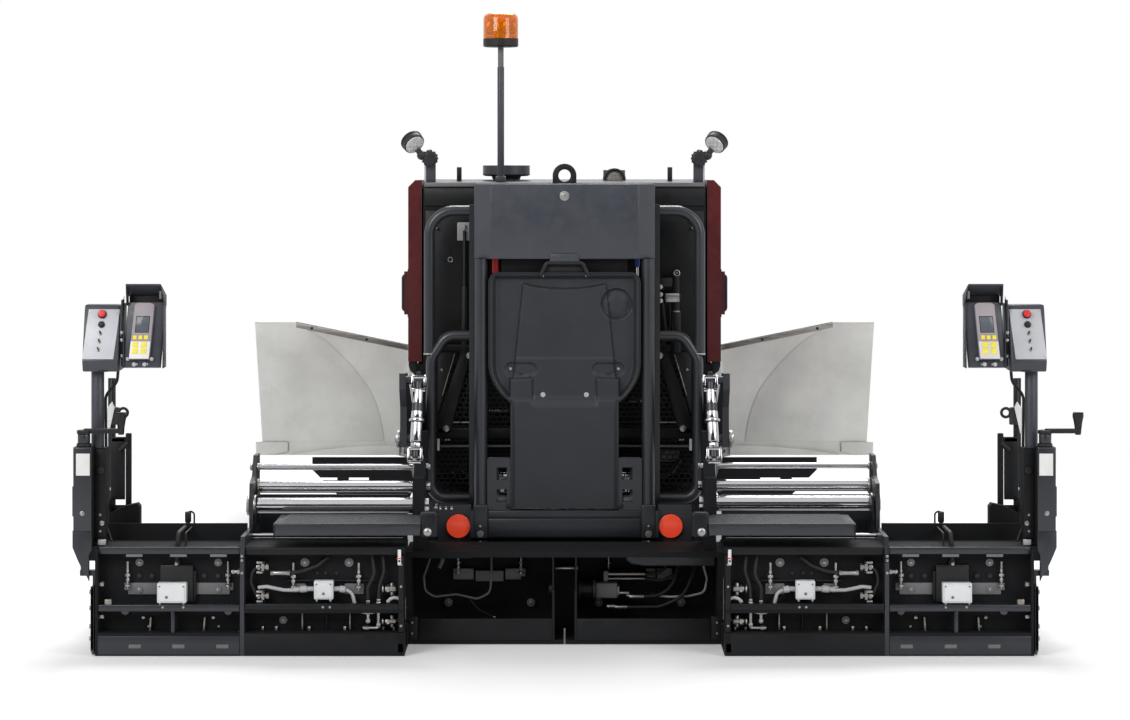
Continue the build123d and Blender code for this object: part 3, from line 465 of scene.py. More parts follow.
def rounded(points, bend, steps=6):
    """The points of a route with each corner rounded by an arc."""
    route = [Vector(points[0])]
    for before, corner, after in zip(points, points[1:], points[2:]):
        before, corner, after = Vector(before), Vector(corner), Vector(after)
        into, out = (before - corner).normalized(), (after - corner).normalized()
        half = into.angle(out) / 2
        reach = min(bend / math.tan(half), 0.49 * (before - corner).length, 0.49 * (after - corner).length)
        for step in range(steps + 1):
            share = step / steps
            start, end = corner + into * reach, corner + out * reach
            route.append(start.lerp(corner, share).lerp(corner.lerp(end, share), share))
    route.append(Vector(points[-1]))
    return route


def pipe(points, radius, look, bend=0.05, sides=6):
    """A round pipe or hose along a route with rounded corners."""
    line = bpy.data.curves.new("pipe", "CURVE")
    line.dimensions = "3D"
    line.bevel_depth = radius
    line.bevel_resolution = sides
    line.use_fill_caps = True
    route = rounded(points, bend)
    spline = line.splines.new("POLY")
    spline.points.add(len(route) - 1)
    for point, place in zip(spline.points, route):
        point.co = (*place, 1)
    piece = bpy.data.objects.new("pipe", line)
    bpy.context.scene.collection.objects.link(piece)
    pick(piece)
    bpy.ops.object.convert(target="MESH")
    return placed(bpy.context.object, look, 60.0)


def copied(piece, moves):
    """Copies of a piece, each with its own mesh, at these moves; the piece itself is the first move's."""
    made = []
    for move in moves:
        twin = piece.copy()
        twin.data = piece.data.copy()
        twin.location = Vector(move)
        bpy.context.scene.collection.objects.link(twin)
        made.append(twin)
    bpy.data.objects.remove(piece)
    for twin in made:
        pick(twin)
        bpy.ops.object.transform_apply(location=True, rotation=True, scale=True)
    return made


def group(name, body, pieces):
    """Join pieces into one, name it and let it ride on a body."""
    pieces = [piece for piece in pieces if piece]
    if len(pieces) > 1:
        pick(*pieces)
        bpy.ops.object.join()
    whole = bpy.context.view_layer.objects.active if len(pieces) > 1 else pieces[0]
    whole.name = name
    whole.data.name = name
    pick(whole)
    whole.location.x += CENTRE
    bpy.ops.object.transform_apply(location=True, rotation=True, scale=True)
    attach(whole, body)
    return whole


def bolt(centre, direction, radius, look="zinc"):
    """A washer and a hexagon head that stands on a face."""
    centre, direction = Vector(centre), Vector(direction).normalized()
    washer = rod(centre, centre + direction * radius * 0.25, radius * 1.5, look, 0.0006)
    head = rod(centre + direction * radius * 0.25, centre + direction * radius * 1.1, radius, look, 0.0012, 6)
    return [washer, head]


def stud(centre, direction, radius, look="grey"):
    """A low domed stud that stands on a face."""
    centre, direction = Vector(centre), Vector(direction).normalized()
    return rod(centre, centre + direction * radius * 0.45, radius, look, radius * 0.3, 28, 3)


# ------------------------------------------------------------------ operators
class PaverOperator:
    """What the paver's operators share."""
    bl_options = {"REGISTER", "UNDO"}

    @property
    def sizes(self):
        """The size settings."""
        return bpy.context.scene.paver_sizes

    @property
    def colours(self):
        """The colour settings."""
        return bpy.context.scene.paver_colours


class PAVER_OT_finishes(PaverOperator, bpy.types.Operator):
    """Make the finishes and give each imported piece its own"""
    bl_idname = "paver.finishes"
    bl_label = "Finishes"

    plain = {"slate": ("chassis_plate", "console_box", "hood_roof", "push_beam"),
        "frame": ("station_post", "station_beam", "handrail", "tow_arm", "carrier", "end_gate", "step"),
        "black": ("hood_rear_wall", "hood_front_wall", "rear_guard", "track_frame", "control_station",
        "auger_gearbox", "wing_cylinder", "moulded_cover", "beacon", "work_lamp", "hopper_base"),
        "matte": ("main_screed", "extension", "bolt_on", "lower_body"), "maroon": ("side_door",),
        "hopper": ("hopper_wing", "hopper_bulkhead", "front_apron"),
        "worn": ("conveyor_floor", "conveyor", "push_roller", "auger"), "chrome": ("guide_tubes", "wing_rod"),
        "iron": ("engine",), "rubber": ("track",)}

    def execute(self, context):
        make_finishes(self.colours)
        look_of = {base: look for look, bases in self.plain.items() for base in bases}
        for name, node in nodes.items():
            base = name.removesuffix("_left").removesuffix("_right")
            node.data.materials.clear()
            node.data.materials.append(finish(look_of[base]))
        return {"FINISHED"}


class PAVER_OT_hood(PaverOperator, bpy.types.Operator):
    """Seams, latches, pins, intake and exhaust of the hood, and what hangs on its rear wall"""
    bl_idname = "paver.hood"
    bl_label = "Hood"

    def execute(self, context):
        rear = box("hood_rear_wall")[0].y
        pieces = []
        band = block((-0.556, 0.556), (rear - 0.010, rear), (1.618, 1.688), "black", 0.003)
        lip = block((-0.556, 0.556), (rear - 0.014, rear + 0.004), (1.694, 1.711), "grey", 0.003)
        group("hood_rear_band", "tractor", [band, lip])
        for side in (-1, 1):
            pieces.append(side_rod(side, 0.427, rear + 0.25, (1.715, 1.772), 0.010, "soft_black", 0.002))
            pieces.append(block((side * 0.30, side * 0.552), (rear - 0.008, rear), (1.03, 1.600), "black",
                0.004))
        group("hood_rear_panels", "tractor", pieces)
        intake = self.mushroom((-0.238, at(1.30), 1.722))
        group("air_intake", "tractor", intake)
        outlet = [rod((0.203, at(1.22), 1.722), (0.203, at(1.36), 1.722), 0.046, "soft_black", 0.006, 40, 3)]
        cut(outlet[0], (0.203, at(1.20), 1.722), (0.203, at(1.25), 1.722), 0.038)
        outlet.append(rod((0.203, at(1.235), 1.722), (0.203, at(1.35), 1.722), 0.037, "worn", 0.001))
        group("exhaust_outlet", "tractor", outlet)
        for name, side in SIDES:
            self.latch(name, side)
        self.rear_wall(rear)
        return {"FINISHED"}

    def mushroom(self, base):
        """A domed cap on a neck, spun from its profile."""
        outline = [(0.0, 0.058), (0.050, 0.057), (0.078, 0.050), (0.092, 0.036), (0.096, 0.022),
            (0.090, 0.014), (0.060, 0.012), (0.056, 0.0), (0.0, 0.0)]
        return [spun(outline, base, "soft_black"),
            ring((base[0], base[1], base[2] + 0.020), (0, 0, 1), 0.094, 0.003, "soft_black")]

    def latch(self, name, side):
        """The long grip of a side door, with its plate."""
        x = side * 0.620
        y = at(1.005)
        plate = block((x - side * 0.001, x + side * 0.004), (y - 0.030, y + 0.030), (1.175, 1.366),
            "soft_black", 0.002)
        grip = pipe([(x, y, 1.195), (x + side * 0.022, y, 1.205), (x + side * 0.022, y, 1.336),
            (x, y, 1.346)], 0.007, "soft_black", 0.012)
        group("door_latch_" + name, "side_door_" + name, [plate, grip])

    def rear_wall(self, rear):
        """Lamp plate, bolts, grease fittings, valves and struts on the rear wall."""
        plate = block((-0.425, -0.345), (rear - 0.016, rear - 0.008), (1.48, 1.553), "conduit", 0.008, 3)
        marks = [plate] + bolt((-0.395, rear - 0.016, 1.533), REARWARD, 0.007)
        marks += [ring((-0.452, rear - 0.011, 1.405), (0, 1, 0), 0.009, 0.002, "zinc")]
        marks += [ring((0.443, rear - 0.030, 1.352), (0, 1, 0), 0.011, 0.0035, "zinc"),
            rod((0.443, rear - 0.03, 1.352), (0.443, rear - 0.008, 1.352), 0.004, "zinc", 0.0005)]
        for side in (-1, 1):
            for drop in (0.0, 0.028):
                marks.append(side_rod(side, 0.508, (rear - 0.026, rear - 0.008), 1.560 - drop, 0.006, "zinc",
                    0.001))
        group("hood_wall_fittings", "tractor", marks)
        valve = [block((0.375, 0.425), (rear - 0.075, rear - 0.010), (1.30, 1.335), "soft_black", 0.004),
            block((0.395, 0.455), (rear - 0.070, rear - 0.010), (1.238, 1.275), "zinc", 0.006),
            rod((0.440, rear - 0.05, 1.20), (0.440, rear - 0.05, 1.34), 0.014, "soft_black", 0.002),
            rod((0.440, rear - 0.05, 1.04), (0.440, rear - 0.05, 1.20), 0.020, "soft_black", 0.002),
            rod((0.440, rear - 0.05, 1.195), (0.440, rear - 0.05, 1.205), 0.016, "zinc", 0.001),
            pipe([(0.36, rear - 0.04, 1.30), (0.385, rear - 0.05, 1.25), (0.40, rear - 0.05, 1.12),
                (0.37, rear - 0.04, 1.03)], 0.007, "hose", 0.04),
            pipe([(0.415, rear - 0.05, 1.24), (0.418, rear - 0.05, 1.15), (0.39, rear - 0.04, 1.06)], 0.006,
                "hose", 0.04)]
        for drop in (0.0, 0.03, 0.055):
            valve += bolt((0.378, rear - 0.075, 1.300 - drop), REARWARD, 0.006)
        group("lift_valve", "tractor", valve)
        strut = [rod((-0.395, rear - 0.03, 1.05), (-0.395, rear - 0.03, 1.52), 0.007, "soft_black", 0.001),
            rod((-0.395, rear - 0.03, 1.05), (-0.395, rear - 0.03, 1.30), 0.012, "soft_black", 0.002)]
        group("cover_strut", "tractor", strut)


def spun(outline, base, look, steps=40):
    """A closed shape turned about the upright through its base, from (radius, height) points."""
    deselect()
    bpy.ops.mesh.primitive_circle_add(vertices=len(outline), fill_type="NOTHING")
    piece = bpy.context.object
    for vertex, (radius, height) in zip(piece.data.vertices, outline):
        vertex.co = (radius, 0, height)
    edit(piece)
    bpy.ops.mesh.spin(steps=steps, angle=math.tau, center=(0, 0, 0), axis=(0, 0, 1))
    bpy.ops.mesh.select_all(action="SELECT")
    bpy.ops.mesh.remove_doubles(threshold=0.0002)
    close_outward()
    piece.location = base
    return placed(piece, look, 40.0)


class PAVER_OT_beacon(PaverOperator, bpy.types.Operator):
    """Beacon: pole, base, clear lens and the two reflectors inside it"""
    bl_idname = "paver.beacon"
    bl_label = "Beacon"

    def execute(self, context):
        low, high = box("beacon")
        x, y = (low.x + high.x) / 2, (low.y + high.y) / 2
        pole = [rod((x, y, low.z), (x, y, 2.170), 0.0135, "slate", 0.001),
            rod((x, y, 2.165), (x, y, 2.252), 0.0115, "grey", 0.001),
            block((x - 0.020, x + 0.020), (y - 0.020, y + 0.020), (low.z, low.z + 0.024), "slate", 0.003)]
        base = spun([(0.0, 2.250), (0.066, 2.250), (0.070, 2.254), (0.070, 2.282), (0.0, 2.282)], (x, y, 0),
            "soft_black", 48)
        inside = [spun([(0.0, 2.282), (0.060, 2.282), (0.060, 2.290), (0.0, 2.290)], (x, y, 0), "chrome", 40)]
        for side in (-1, 1):
            dish = ball((x + side * 0.033, y - 0.012, 2.330), 0.036, "chrome", (0.92, 0.35, 1.0))
            inside.append(dish)
        inside.append(rod((x, y + 0.02, 2.29), (x, y + 0.02, 2.35), 0.010, "zinc", 0.002))
        lens = spun([(0.062, 2.283), (0.0695, 2.283), (0.0695, 2.360), (0.066, 2.374), (0.056, 2.3815),
            (0.0, 2.3815), (0.0, 2.3785), (0.054, 2.3785), (0.063, 2.371), (0.0662, 2.360), (0.0662, 2.286),
            (0.062, 2.286)], (x, y, 0), "amber", 56)
        whole = group("beacon_pole", "tractor", pole + [base] + inside)
        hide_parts("beacon")
        group("beacon_lens", "tractor", [lens])
        return {"FINISHED"}


class PAVER_OT_work_lamps(PaverOperator, bpy.types.Operator):
    """Round work lamps on their brackets, with ball joints and lens cells"""
    bl_idname = "paver.work_lamps"
    bl_label = "Work lamps"

    def execute(self, context):
        for name, side in SIDES:
            low = box("work_lamp_" + name)[0]
            y = at(0.963)
            bracket = sheet_piece(in_plane(side, y - 0.003, (0.511, low.z), (0.551, low.z), (0.551, 1.800),
                (0.548, 1.838), (0.530, 1.842), (0.511, 1.815)), (0, 0.006, 0), "slate", 0.001)
            strip = block((side * 0.549, side * 0.556), (y - 0.006, y + 0.006), (low.z, 1.815), "conduit",
                0.001)
            knob = side_rod(side, 0.534, (y - 0.032, y + 0.020), 1.806, 0.031, "housing", 0.008, 24, 3)
            teeth = [rod((side * 0.534 + 0.031 * math.cos(turn), y - 0.030, 1.806 + 0.031 * math.sin(turn)),
                (side * 0.534 + 0.031 * math.cos(turn), y - 0.004, 1.806 + 0.031 * math.sin(turn)), 0.0035,
                "housing", 0.001, 8) for turn in [math.tau * step / 14 for step in range(14)]]
            joint = ball((side * 0.566, y - 0.020, 1.818), 0.019, "housing")
            stem = side_rod(side, (0.560, 0.584), (y - 0.02, y - 0.020), (1.812, 1.842), 0.012, "housing",
                0.002)
            cap = side_rod(side, 0.523, (y - 0.03, y + 0.010), 1.785, 0.008, "soft_black", 0.002)
            centre = Vector((side * 0.599, y - 0.018, 1.867))
            aim = Vector((side * -0.45, -0.62, -0.55)).normalized()
            head = rod(centre - aim * 0.020, centre + aim * 0.012, 0.044, "housing", 0.006, 40, 3)
            fins = [rod(centre - aim * (0.014 + 0.006 * fin), centre - aim * (0.011 + 0.006 * fin), 0.0455,
                "housing", 0.0008, 40) for fin in range(2)]
            lens = rod(centre + aim * 0.0105, centre + aim * 0.0145, 0.0385, "lens", 0.001, 40)
            group("work_lamp_body_" + name, "tractor", [bracket, strip, knob, joint, stem, cap, head]
                + teeth + fins)
            across = aim.cross((0, 0, 1)).normalized()
            above = across.cross(aim)
            spots = [rod(centre + aim * 0.0142, centre + aim * 0.0152, 0.0095, "lens", 0.0004, 20)]
            spots += [rod(centre + aim * 0.0142 + (across * math.cos(turn) + above * math.sin(turn)) * 0.0245,
                centre + aim * 0.0152 + (across * math.cos(turn) + above * math.sin(turn)) * 0.0245, 0.0095,
                "lens", 0.0004, 20) for turn in [math.tau * step / 6 for step in range(6)]]
            whole = group("work_lamp_lens_" + name, "tractor", [lens] + spots)
            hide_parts("work_lamp_" + name)
        return {"FINISHED"}


class PAVER_OT_console(PaverOperator, bpy.types.Operator):
    """Console box with its folded front, lifting eye, tab and the bottles behind it"""
    bl_idname = "paver.console"
    bl_label = "Console box"

    def execute(self, context):
        low = box("console_box")[0]
        front, base = low.y, low.z
        top = 1.706
        outline = [(-0.350, at(0.95)), (0.350, at(0.95)), (0.350, front + 0.065), (0.285, front),
            (-0.285, front), (-0.350, front + 0.065)]
        body = sheet_piece([(x, y, base) for x, y in outline], (0, 0, top - base), "slate", 0.004, (), 3)
        eye = [(-0.047, 1.700)] + [(-0.047 * math.cos(turn), 1.738 + 0.047 * math.sin(turn))
            for turn in [math.pi * step / 24 for step in range(25)]] + [(0.047, 1.700)]
        eye_y = at(0.890) - 0.024
        lug = sheet_piece([(x, eye_y, z) for x, z in eye], (0, 0.024, 0), "soft_black", 0.002,
            [((0, eye_y, 1.738), 0.024)])
        tab = sheet_piece([(-0.052, front - 0.006, 1.438), (-0.058, front - 0.006, 1.408),
            (0.058, front - 0.006, 1.408), (0.052, front - 0.006, 1.438)], (0, 0.008, 0), "slate", 0.002)
        parts = [body, lug, tab] + bolt((0, front, 1.660), REARWARD, 0.0125)
        whole = group("console_box_body", "tractor", parts)
        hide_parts("console_box")
        depth = front + 0.10
        bottles = [rod((-0.268, depth, 1.36), (-0.268, depth, 1.425), 0.013, "red", 0.002),
            rod((-0.268, depth, 1.30), (-0.268, depth, 1.36), 0.009, "red", 0.002),
            rod((0.282, depth, 1.385), (0.282, depth, 1.42), 0.011, "blue", 0.002),
            rod((0.282, depth, 1.30), (0.282, depth, 1.385), 0.006, "zinc", 0.001),
            block((-0.245, 0.245), (depth - 0.02, depth + 0.12), (1.36, 1.418), "soft_black", 0.006)]
        group("console_underside", "tractor", bottles)
        return {"FINISHED"}


class PAVER_OT_moulded_cover(PaverOperator, bpy.types.Operator):
    """Moulded cover that hangs between the posts: rim, tray, raised panel, cup, lugs and handle"""
    bl_idname = "paver.moulded_cover"
    bl_label = "Moulded cover"

    bottom, neck_top, shoulder, top = 0.459, 0.868, 1.012, 1.364
    neck, wide, corner = 0.208, 0.289, 0.040
    depth = 0.050

    def half_width(self, z):
        """Half the cover's width at a height."""
        if z <= self.neck_top:
            return self.neck
        if z < self.shoulder:
            share = (z - self.neck_top) / (self.shoulder - self.neck_top)
            return self.neck + (self.wide - self.neck) * math.sin(share * math.pi / 2) ** 0.8
        if z > self.top - self.corner:
            rise = z - (self.top - self.corner)
            return self.wide - self.corner + math.sqrt(max(0.0, self.corner ** 2 - rise ** 2))
        return self.wide

    def relief(self, x, z):
        """How far the face lies behind the rim."""
        edge = self.half_width(z) - abs(x)
        tray = min(edge, self.top - z)
        # the tray falls away inside the rim, above the neck
        above = ramp(z, self.neck_top - 0.03, self.neck_top + 0.03)
        fall = 0.032 * ramp(tray, 0.007, 0.028)
        # raised panel: a tall trapezoid whose sides lean in towards the top
        lean = 0.163 + 0.030 * (1.309 - z) / 0.29
        panel = ramp(min(lean - abs(x), 1.309 - z + 0.02 * (x / 0.16) ** 2 - 0.006), -0.004, 0.006)
        fall -= 0.015 * panel
        # tongue between the lugs
        tongue_half = 0.119 + 0.070 * ramp(z, 0.955, 0.985)
        shoulder = ramp(min(0.957 - z, abs(x) - 0.124, 0.212 - abs(x)), -0.004, 0.006)
        fall = fall * (1 - shoulder) + 0.004 * shoulder
        tongue = ramp(min(tongue_half - abs(x), z - 0.874), -0.003, 0.005) * ramp(1.04 - z, 0.0, 0.01)
        fall = fall * (1 - tongue) + 0.013 * tongue
        # lugs
        across, up = max(0.0, abs(abs(x) - 0.169) - 0.037), abs(z - 0.992)
        pocket = ramp(0.027 - math.hypot(across, up), 0.0, 0.010)
        fall += 0.014 * pocket * ramp(1.0 - pocket * 0.45, 0.0, 1.0)
        # round cup, right of the panel
        away = math.hypot(x - 0.200, z - 1.243)
        cup = ramp(0.062 - away, 0.0, 0.010)
        fall += cup * (0.020 - 0.016 * (1 - (away / 0.062) ** 2))
        # the neck is crowned, with round upright edges
        round_edge = 0.012 * (1 - ramp(edge, 0.0, 0.022))
        ledge = 0.004 * ramp(z - self.neck_top, 0.0, 0.006)
        return fall * above + (1 - above) * round_edge + ledge * above

    def execute(self, context):
        face_y = box("moulded_cover")[0].y - 0.004
        shell = self.shell(face_y)
        up = self.steps(self.neck_top, self.top - 0.001)
        rim = [(side * (self.half_width(z) + 0.001), face_y + 0.004, z)
            for side, heights in ((-1, up), (1, up[::-1])) for z in heights]
        bead = pipe(rim, 0.0042, "soft_black", 0.004, 4)
        handle = pipe([(-0.092, face_y + 0.004, 1.352), (-0.070, face_y - 0.002, 1.402),
            (0.070, face_y - 0.002, 1.402), (0.092, face_y + 0.004, 1.352)], 0.0085, "soft_black", 0.016)
        plate = block((-0.074, 0.074), (face_y + 0.012, face_y + 0.020), (1.362, 1.396), "soft_black", 0.003)
        parts = [shell, bead, handle, plate]
        for x in (-0.083, 0.084):
            parts.append(stud((x, face_y + self.relief(x, 0.894) - 0.001, 0.894), REARWARD, 0.010, "conduit"))
        for x in (-0.208, 0.208):
            parts.append(stud((x, face_y + self.relief(x, 0.992) - 0.001, 0.992), REARWARD, 0.006, "zinc"))
        for x in (-0.083, 0.084):
            parts.append(stud((x, face_y + 0.004, 1.352), REARWARD, 0.004, "zinc"))
        for x in (-0.214, 0.214):
            parts.append(block((x - 0.012, x + 0.012), (face_y + 0.01, face_y + 0.045), (0.455, 0.477),
                "soft_black", 0.004))
        whole = group("moulded_cover_shell", "tractor", parts)
        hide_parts("moulded_cover")
        return {"FINISHED"}

    def shell(self, face_y):
        """The cover's face as a grid of points, with its sides and the thickness of its wall."""
        columns, rows = 150, 240
        points, faces = [], []
        for row in range(rows + 1):
            z = self.bottom + (self.top - self.bottom) * row / rows
            for column in range(columns + 1):
                across = 2 * column / columns - 1
                x = across * self.half_width(z)
                points.append((x, face_y + self.relief(x, z), z))
        for row in range(rows):
            for column in range(columns):
                first = row * (columns + 1) + column
                faces.append((first, first + 1, first + columns + 2, first + columns + 1))
        mesh = bpy.data.meshes.new("cover")
        mesh.from_pydata(points, [], faces)
        shell = bpy.data.objects.new("cover", mesh)
        bpy.context.scene.collection.objects.link(shell)
        pick(shell)
        bpy.ops.object.mode_set(mode="EDIT")
        bpy.ops.mesh.select_mode(type="EDGE")
        bpy.ops.mesh.select_all(action="DESELECT")
        bpy.ops.mesh.select_non_manifold(extend=False)
        bpy.ops.mesh.extrude_region_move(TRANSFORM_OT_translate={"value": (0, 0.006, 0)})
        bpy.ops.mesh.extrude_region_move(TRANSFORM_OT_translate={"value": (0, self.depth - 0.006, 0)})
        close_outward()
        wall = shell.modifiers.new("wall", "SOLIDIFY")
        wall.thickness = self.sizes.cover_wall
        wall.offset = -1
        apply_all(shell)
        return placed(shell, "cover", 50.0)

    def steps(self, low, high, count=34):
        """Heights between two limits, closer together near the top."""
        return [low + (high - low) * math.sin(math.pi / 2 * step / count) for step in range(count + 1)]


def ramp(value, start, end):
    """0 below start, 1 above end and smooth between."""
    share = min(1.0, max(0.0, (value - start) / (end - start)))
    return share * share * (3 - 2 * share)


class PAVER_OT_posts(PaverOperator, bpy.types.Operator):
    """Posts of the station frame: sleeves, windowed plates, beam, reflectors and bolts"""
    bl_idname = "paver.posts"
    bl_label = "Posts and beam"

    def execute(self, context):
        for name, side in SIDES:
            x = side * 0.3235
            sleeve = [sheet_piece(side_points(side, (0.297, 0.628, 0.345), (0.350, 0.628, 0.345),
                (0.350, 0.628, 0.472), (0.297, 0.628, 0.472)), (0, -0.014, 0), "frame", 0.005, (), 3)]
            sleeve += [rod((x, at(0.614), 0.361), (x, at(0.608), 0.361), 0.0135, "grey", 0.003, 28, 3)]
            sleeve += [rod((x, at(0.614), 0.361 + step), (x, at(0.609), 0.361 + step), 0.005, "zinc", 0.001)
                for step in (-0.031, 0.029)]
            group("post_sleeve_" + name, "tractor", sleeve)
            plate = sheet_piece(side_points(side, (0.300, 0.652, 0.466), (0.206, 0.652, 0.466),
                (0.206, 0.652, 0.640), (0.212, 0.652, 0.652), (0.290, 0.652, 0.652), (0.300, 0.652, 0.640)),
                (0, 0.008, 0), "frame", 0.0015)
            for low, high in ((0.506, 0.550), (0.578, 0.620)):
                window = side_block(side, (0.160, 0.254), (0.640, 0.670), (low, high), "frame", 0.008, 3)
                subtract(plate, window)
            rim = [plate]
            for height in (0.491, 0.632):
                rim.append(stud((side * 0.275, at(0.652), height), REARWARD, 0.008, "zinc"))
            group("post_plate_" + name, "tractor", rim)
            disc = [side_rod(side, 0.409, (at(0.642), at(0.6375)), 0.388, 0.0455, "reflector", 0.002, 56, 3)]
            group("reflector_" + name, "tractor", disc)
            dome = [ball((side * 0.5255, at(0.640), 0.369), 0.019, "zinc", (1, 0.6, 1)),
                side_rod(side, 0.5255, (at(0.655), at(0.641)), 0.369, 0.022, "grey", 0.002)]
            rail_plate = [sheet_piece(side_points(side, (0.452, 0.660, 0.322), (0.452, 0.660, 0.425),
                (0.462, 0.660, 0.432), (0.536, 0.660, 0.405), (0.552, 0.660, 0.360), (0.548, 0.660, 0.336)),
                (0, 0.012, 0), "frame", 0.002)]
            group("beam_end_" + name, "tractor", dome + rail_plate)
            pad = [side_rod(side, 0.424, (at(0.64), at(0.652)), 0.306, 0.013, "grey", 0.003, 24)]
            pad += [side_block(side, (0.298, 0.560), (0.652, 0.664), (0.318, 0.330), "frame", 0.002)]
            group("beam_foot_" + name, "tractor", pad)
        fitting = pipe([(-0.502, at(0.66), 0.455), (-0.422, at(0.66), 0.455)], 0.0075, "chrome", 0.01)
        nuts = [rod((-0.487 + step, at(0.66), 0.455), (-0.475 + step, at(0.66), 0.455), 0.0125, "chrome",
            0.001, 6) for step in (0.0, 0.022, 0.044)]
        tail = [rod((-0.493, at(0.66), 0.455), (-0.493, at(0.66), 0.472), 0.005, "zinc", 0.001)]
        group("test_fitting", "tractor", [fitting] + nuts + tail)
        apron = [block((-0.560, 0.560), (at(0.668), at(0.674)), (0.290, 0.400), "black", 0.002)]
        group("beam_apron", "tractor", apron)
        groove = [block((-0.292, 0.292), (at(0.6245), at(0.6300)), (0.421, 0.447), "frame", 0.002),
            block((-0.292, 0.292), (at(0.6230), at(0.6300)), (0.349, 0.417), "frame", 0.003)]
        group("beam_face", "tractor", groove)
        return {"FINISHED"}


class PAVER_OT_rear_guard(PaverOperator, bpy.types.Operator):
    """Rear guard: the lattice in its frame, the struts, the bars across it and the dark plant behind"""
    bl_idname = "paver.rear_guard"
    bl_label = "Rear guard"

    def execute(self, context):
        low, high = box("rear_guard")
        self.lattice(low, high)
        self.struts(low.y)
        self.plant(low.y + 0.026)
        return {"FINISHED"}

    def lattice(self, low, high):
        """Rows of bars with short uprights between them, set off from row to row, in a frame."""
        y = low.y
        cell, wire = self.sizes.guard_cell, self.sizes.guard_bar
        rows = cell * 0.78
        left, right, foot, head = -0.520, 0.520, 0.486, 1.058
        lines = int((head - foot) / rows)
        bars = copied(block((left, right), (y, y + 0.003), (-wire / 2, wire / 2), "black", 0.0),
            [(0, 0, foot + rows * line) for line in range(lines + 1)])
        uprights = []
        for line in range(lines):
            slip = cell / 2 if line % 2 else 0.0
            count = int((right - left - slip) / cell)
            for step in range(1, count + 1):
                uprights.append((left + slip + cell * step, 0, foot + rows * (line + 0.5)))
        posts = copied(block((-wire / 2, wire / 2), (y, y + 0.003), (-rows / 2, rows / 2), "black", 0.0),
            uprights)
        edge = [block((-0.530, 0.530), (y - 0.001, y + 0.006), (high.z - 0.020, high.z), "black", 0.002),
            block((-0.530, 0.530), (y - 0.001, y + 0.006), (low.z, low.z + 0.018), "black", 0.002),
            block((-0.530, -0.512), (y - 0.001, y + 0.006), (low.z, high.z), "black", 0.002),
            block((0.512, 0.530), (y - 0.001, y + 0.006), (low.z, high.z), "black", 0.002)]
        whole = group("rear_guard_lattice", "tractor", bars + posts + edge)
        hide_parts("rear_guard")

    def struts(self, y):
        """Struts, bolts and marks on both sides, and the bars across the guard."""
        parts = []
        for side in (-1, 1):
            strut = sheet_piece(in_plane(side, y - 0.010, (0.402, 1.062), (0.362, 1.062), (0.452, 0.722),
                (0.500, 0.722), (0.500, 0.772)), (0, 0.008, 0), "black", 0.002)
            parts.append(strut)
            parts.append(sheet_piece(in_plane(side, y - 0.006, (0.500, 1.040), (0.425, 1.040),
                (0.500, 0.800)), (0, 0.006, 0), "soft_black", 0.001))
            parts += bolt((side * 0.375, y - 0.010, 1.028), REARWARD, 0.0085)
            parts += bolt((side * 0.467, y - 0.010, 0.740), REARWARD, 0.0085)
            parts.append(stud((side * 0.364, y - 0.002, 0.518), REARWARD, 0.007, "zinc"))
            parts.append(block((side * 0.492, side * 0.502), (y - 0.020, y - 0.004), (0.654, 0.700), "label",
                0.001))
            parts.append(side_rod(side, 0.484, (y - 0.006, y - 0.012), 0.972, 0.005, "zinc", 0.001))
            parts.append(side_rod(side, (0.433, 0.482), y - 0.012, (1.034, 0.871), 0.002, "zinc", 0.0003, 8))
            for place in (0.374, 0.414):
                parts.append(block((side * place, side * (place + 0.034)), (y - 0.004, y - 0.001),
                    (0.762, 0.766), "conduit", 0.0005))
            for place in (0.452, 0.463):
                parts.append(block((side * place, side * (place + 0.008)), (y - 0.006, y - 0.002),
                    (0.693, 0.698), "label", 0.0005))
        parts.append(rod((-0.490, y - 0.012, 0.671), (0.490, y - 0.012, 0.671), 0.0045, "grey", 0.001))
        parts.append(block((-0.500, 0.500), (y - 0.010, y - 0.002), (0.700, 0.742), "black", 0.003))
        parts.append(block((-0.500, 0.500), (y - 0.006, y - 0.002), (0.716, 0.720), "grey", 0.001))
        group("rear_guard_struts", "tractor", parts)

    def plant(self, behind):
        """Dark hoses and blocks close behind the lattice."""
        plant = [block((-0.500, 0.500), (behind, behind + 0.012), (0.761, 0.766), "worn", 0.001),
            block((-0.300, -0.220), (behind, behind + 0.020), (0.798, 0.812), "worn", 0.004),
            rod((-0.43, behind, 0.80), (-0.41, behind, 0.98), 0.010, "hose", 0.002),
            rod((-0.40, behind, 0.78), (-0.37, behind, 1.00), 0.009, "hose", 0.002),
            pipe([(0.26, behind, 0.86), (0.36, behind + 0.01, 0.82), (0.45, behind, 0.90)], 0.010, "hose",
                0.06),
            block((0.355, 0.455), (behind, behind + 0.016), (0.606, 0.650), "grey", 0.004),
            rod((0.25, behind, 0.845), (0.31, behind, 0.845), 0.006, "zinc", 0.001),
            rod((-0.44, behind, 0.56), (-0.38, behind, 0.60), 0.012, "hose", 0.003),
            rod((-0.34, behind, 0.53), (-0.41, behind, 0.58), 0.010, "hose", 0.003),
            pipe([(0.30, behind, 0.60), (0.34, behind, 0.54), (0.42, behind, 0.56), (0.46, behind, 0.62)],
                0.009, "hose", 0.04)]
        group("plant_behind_guard", "tractor", plant)


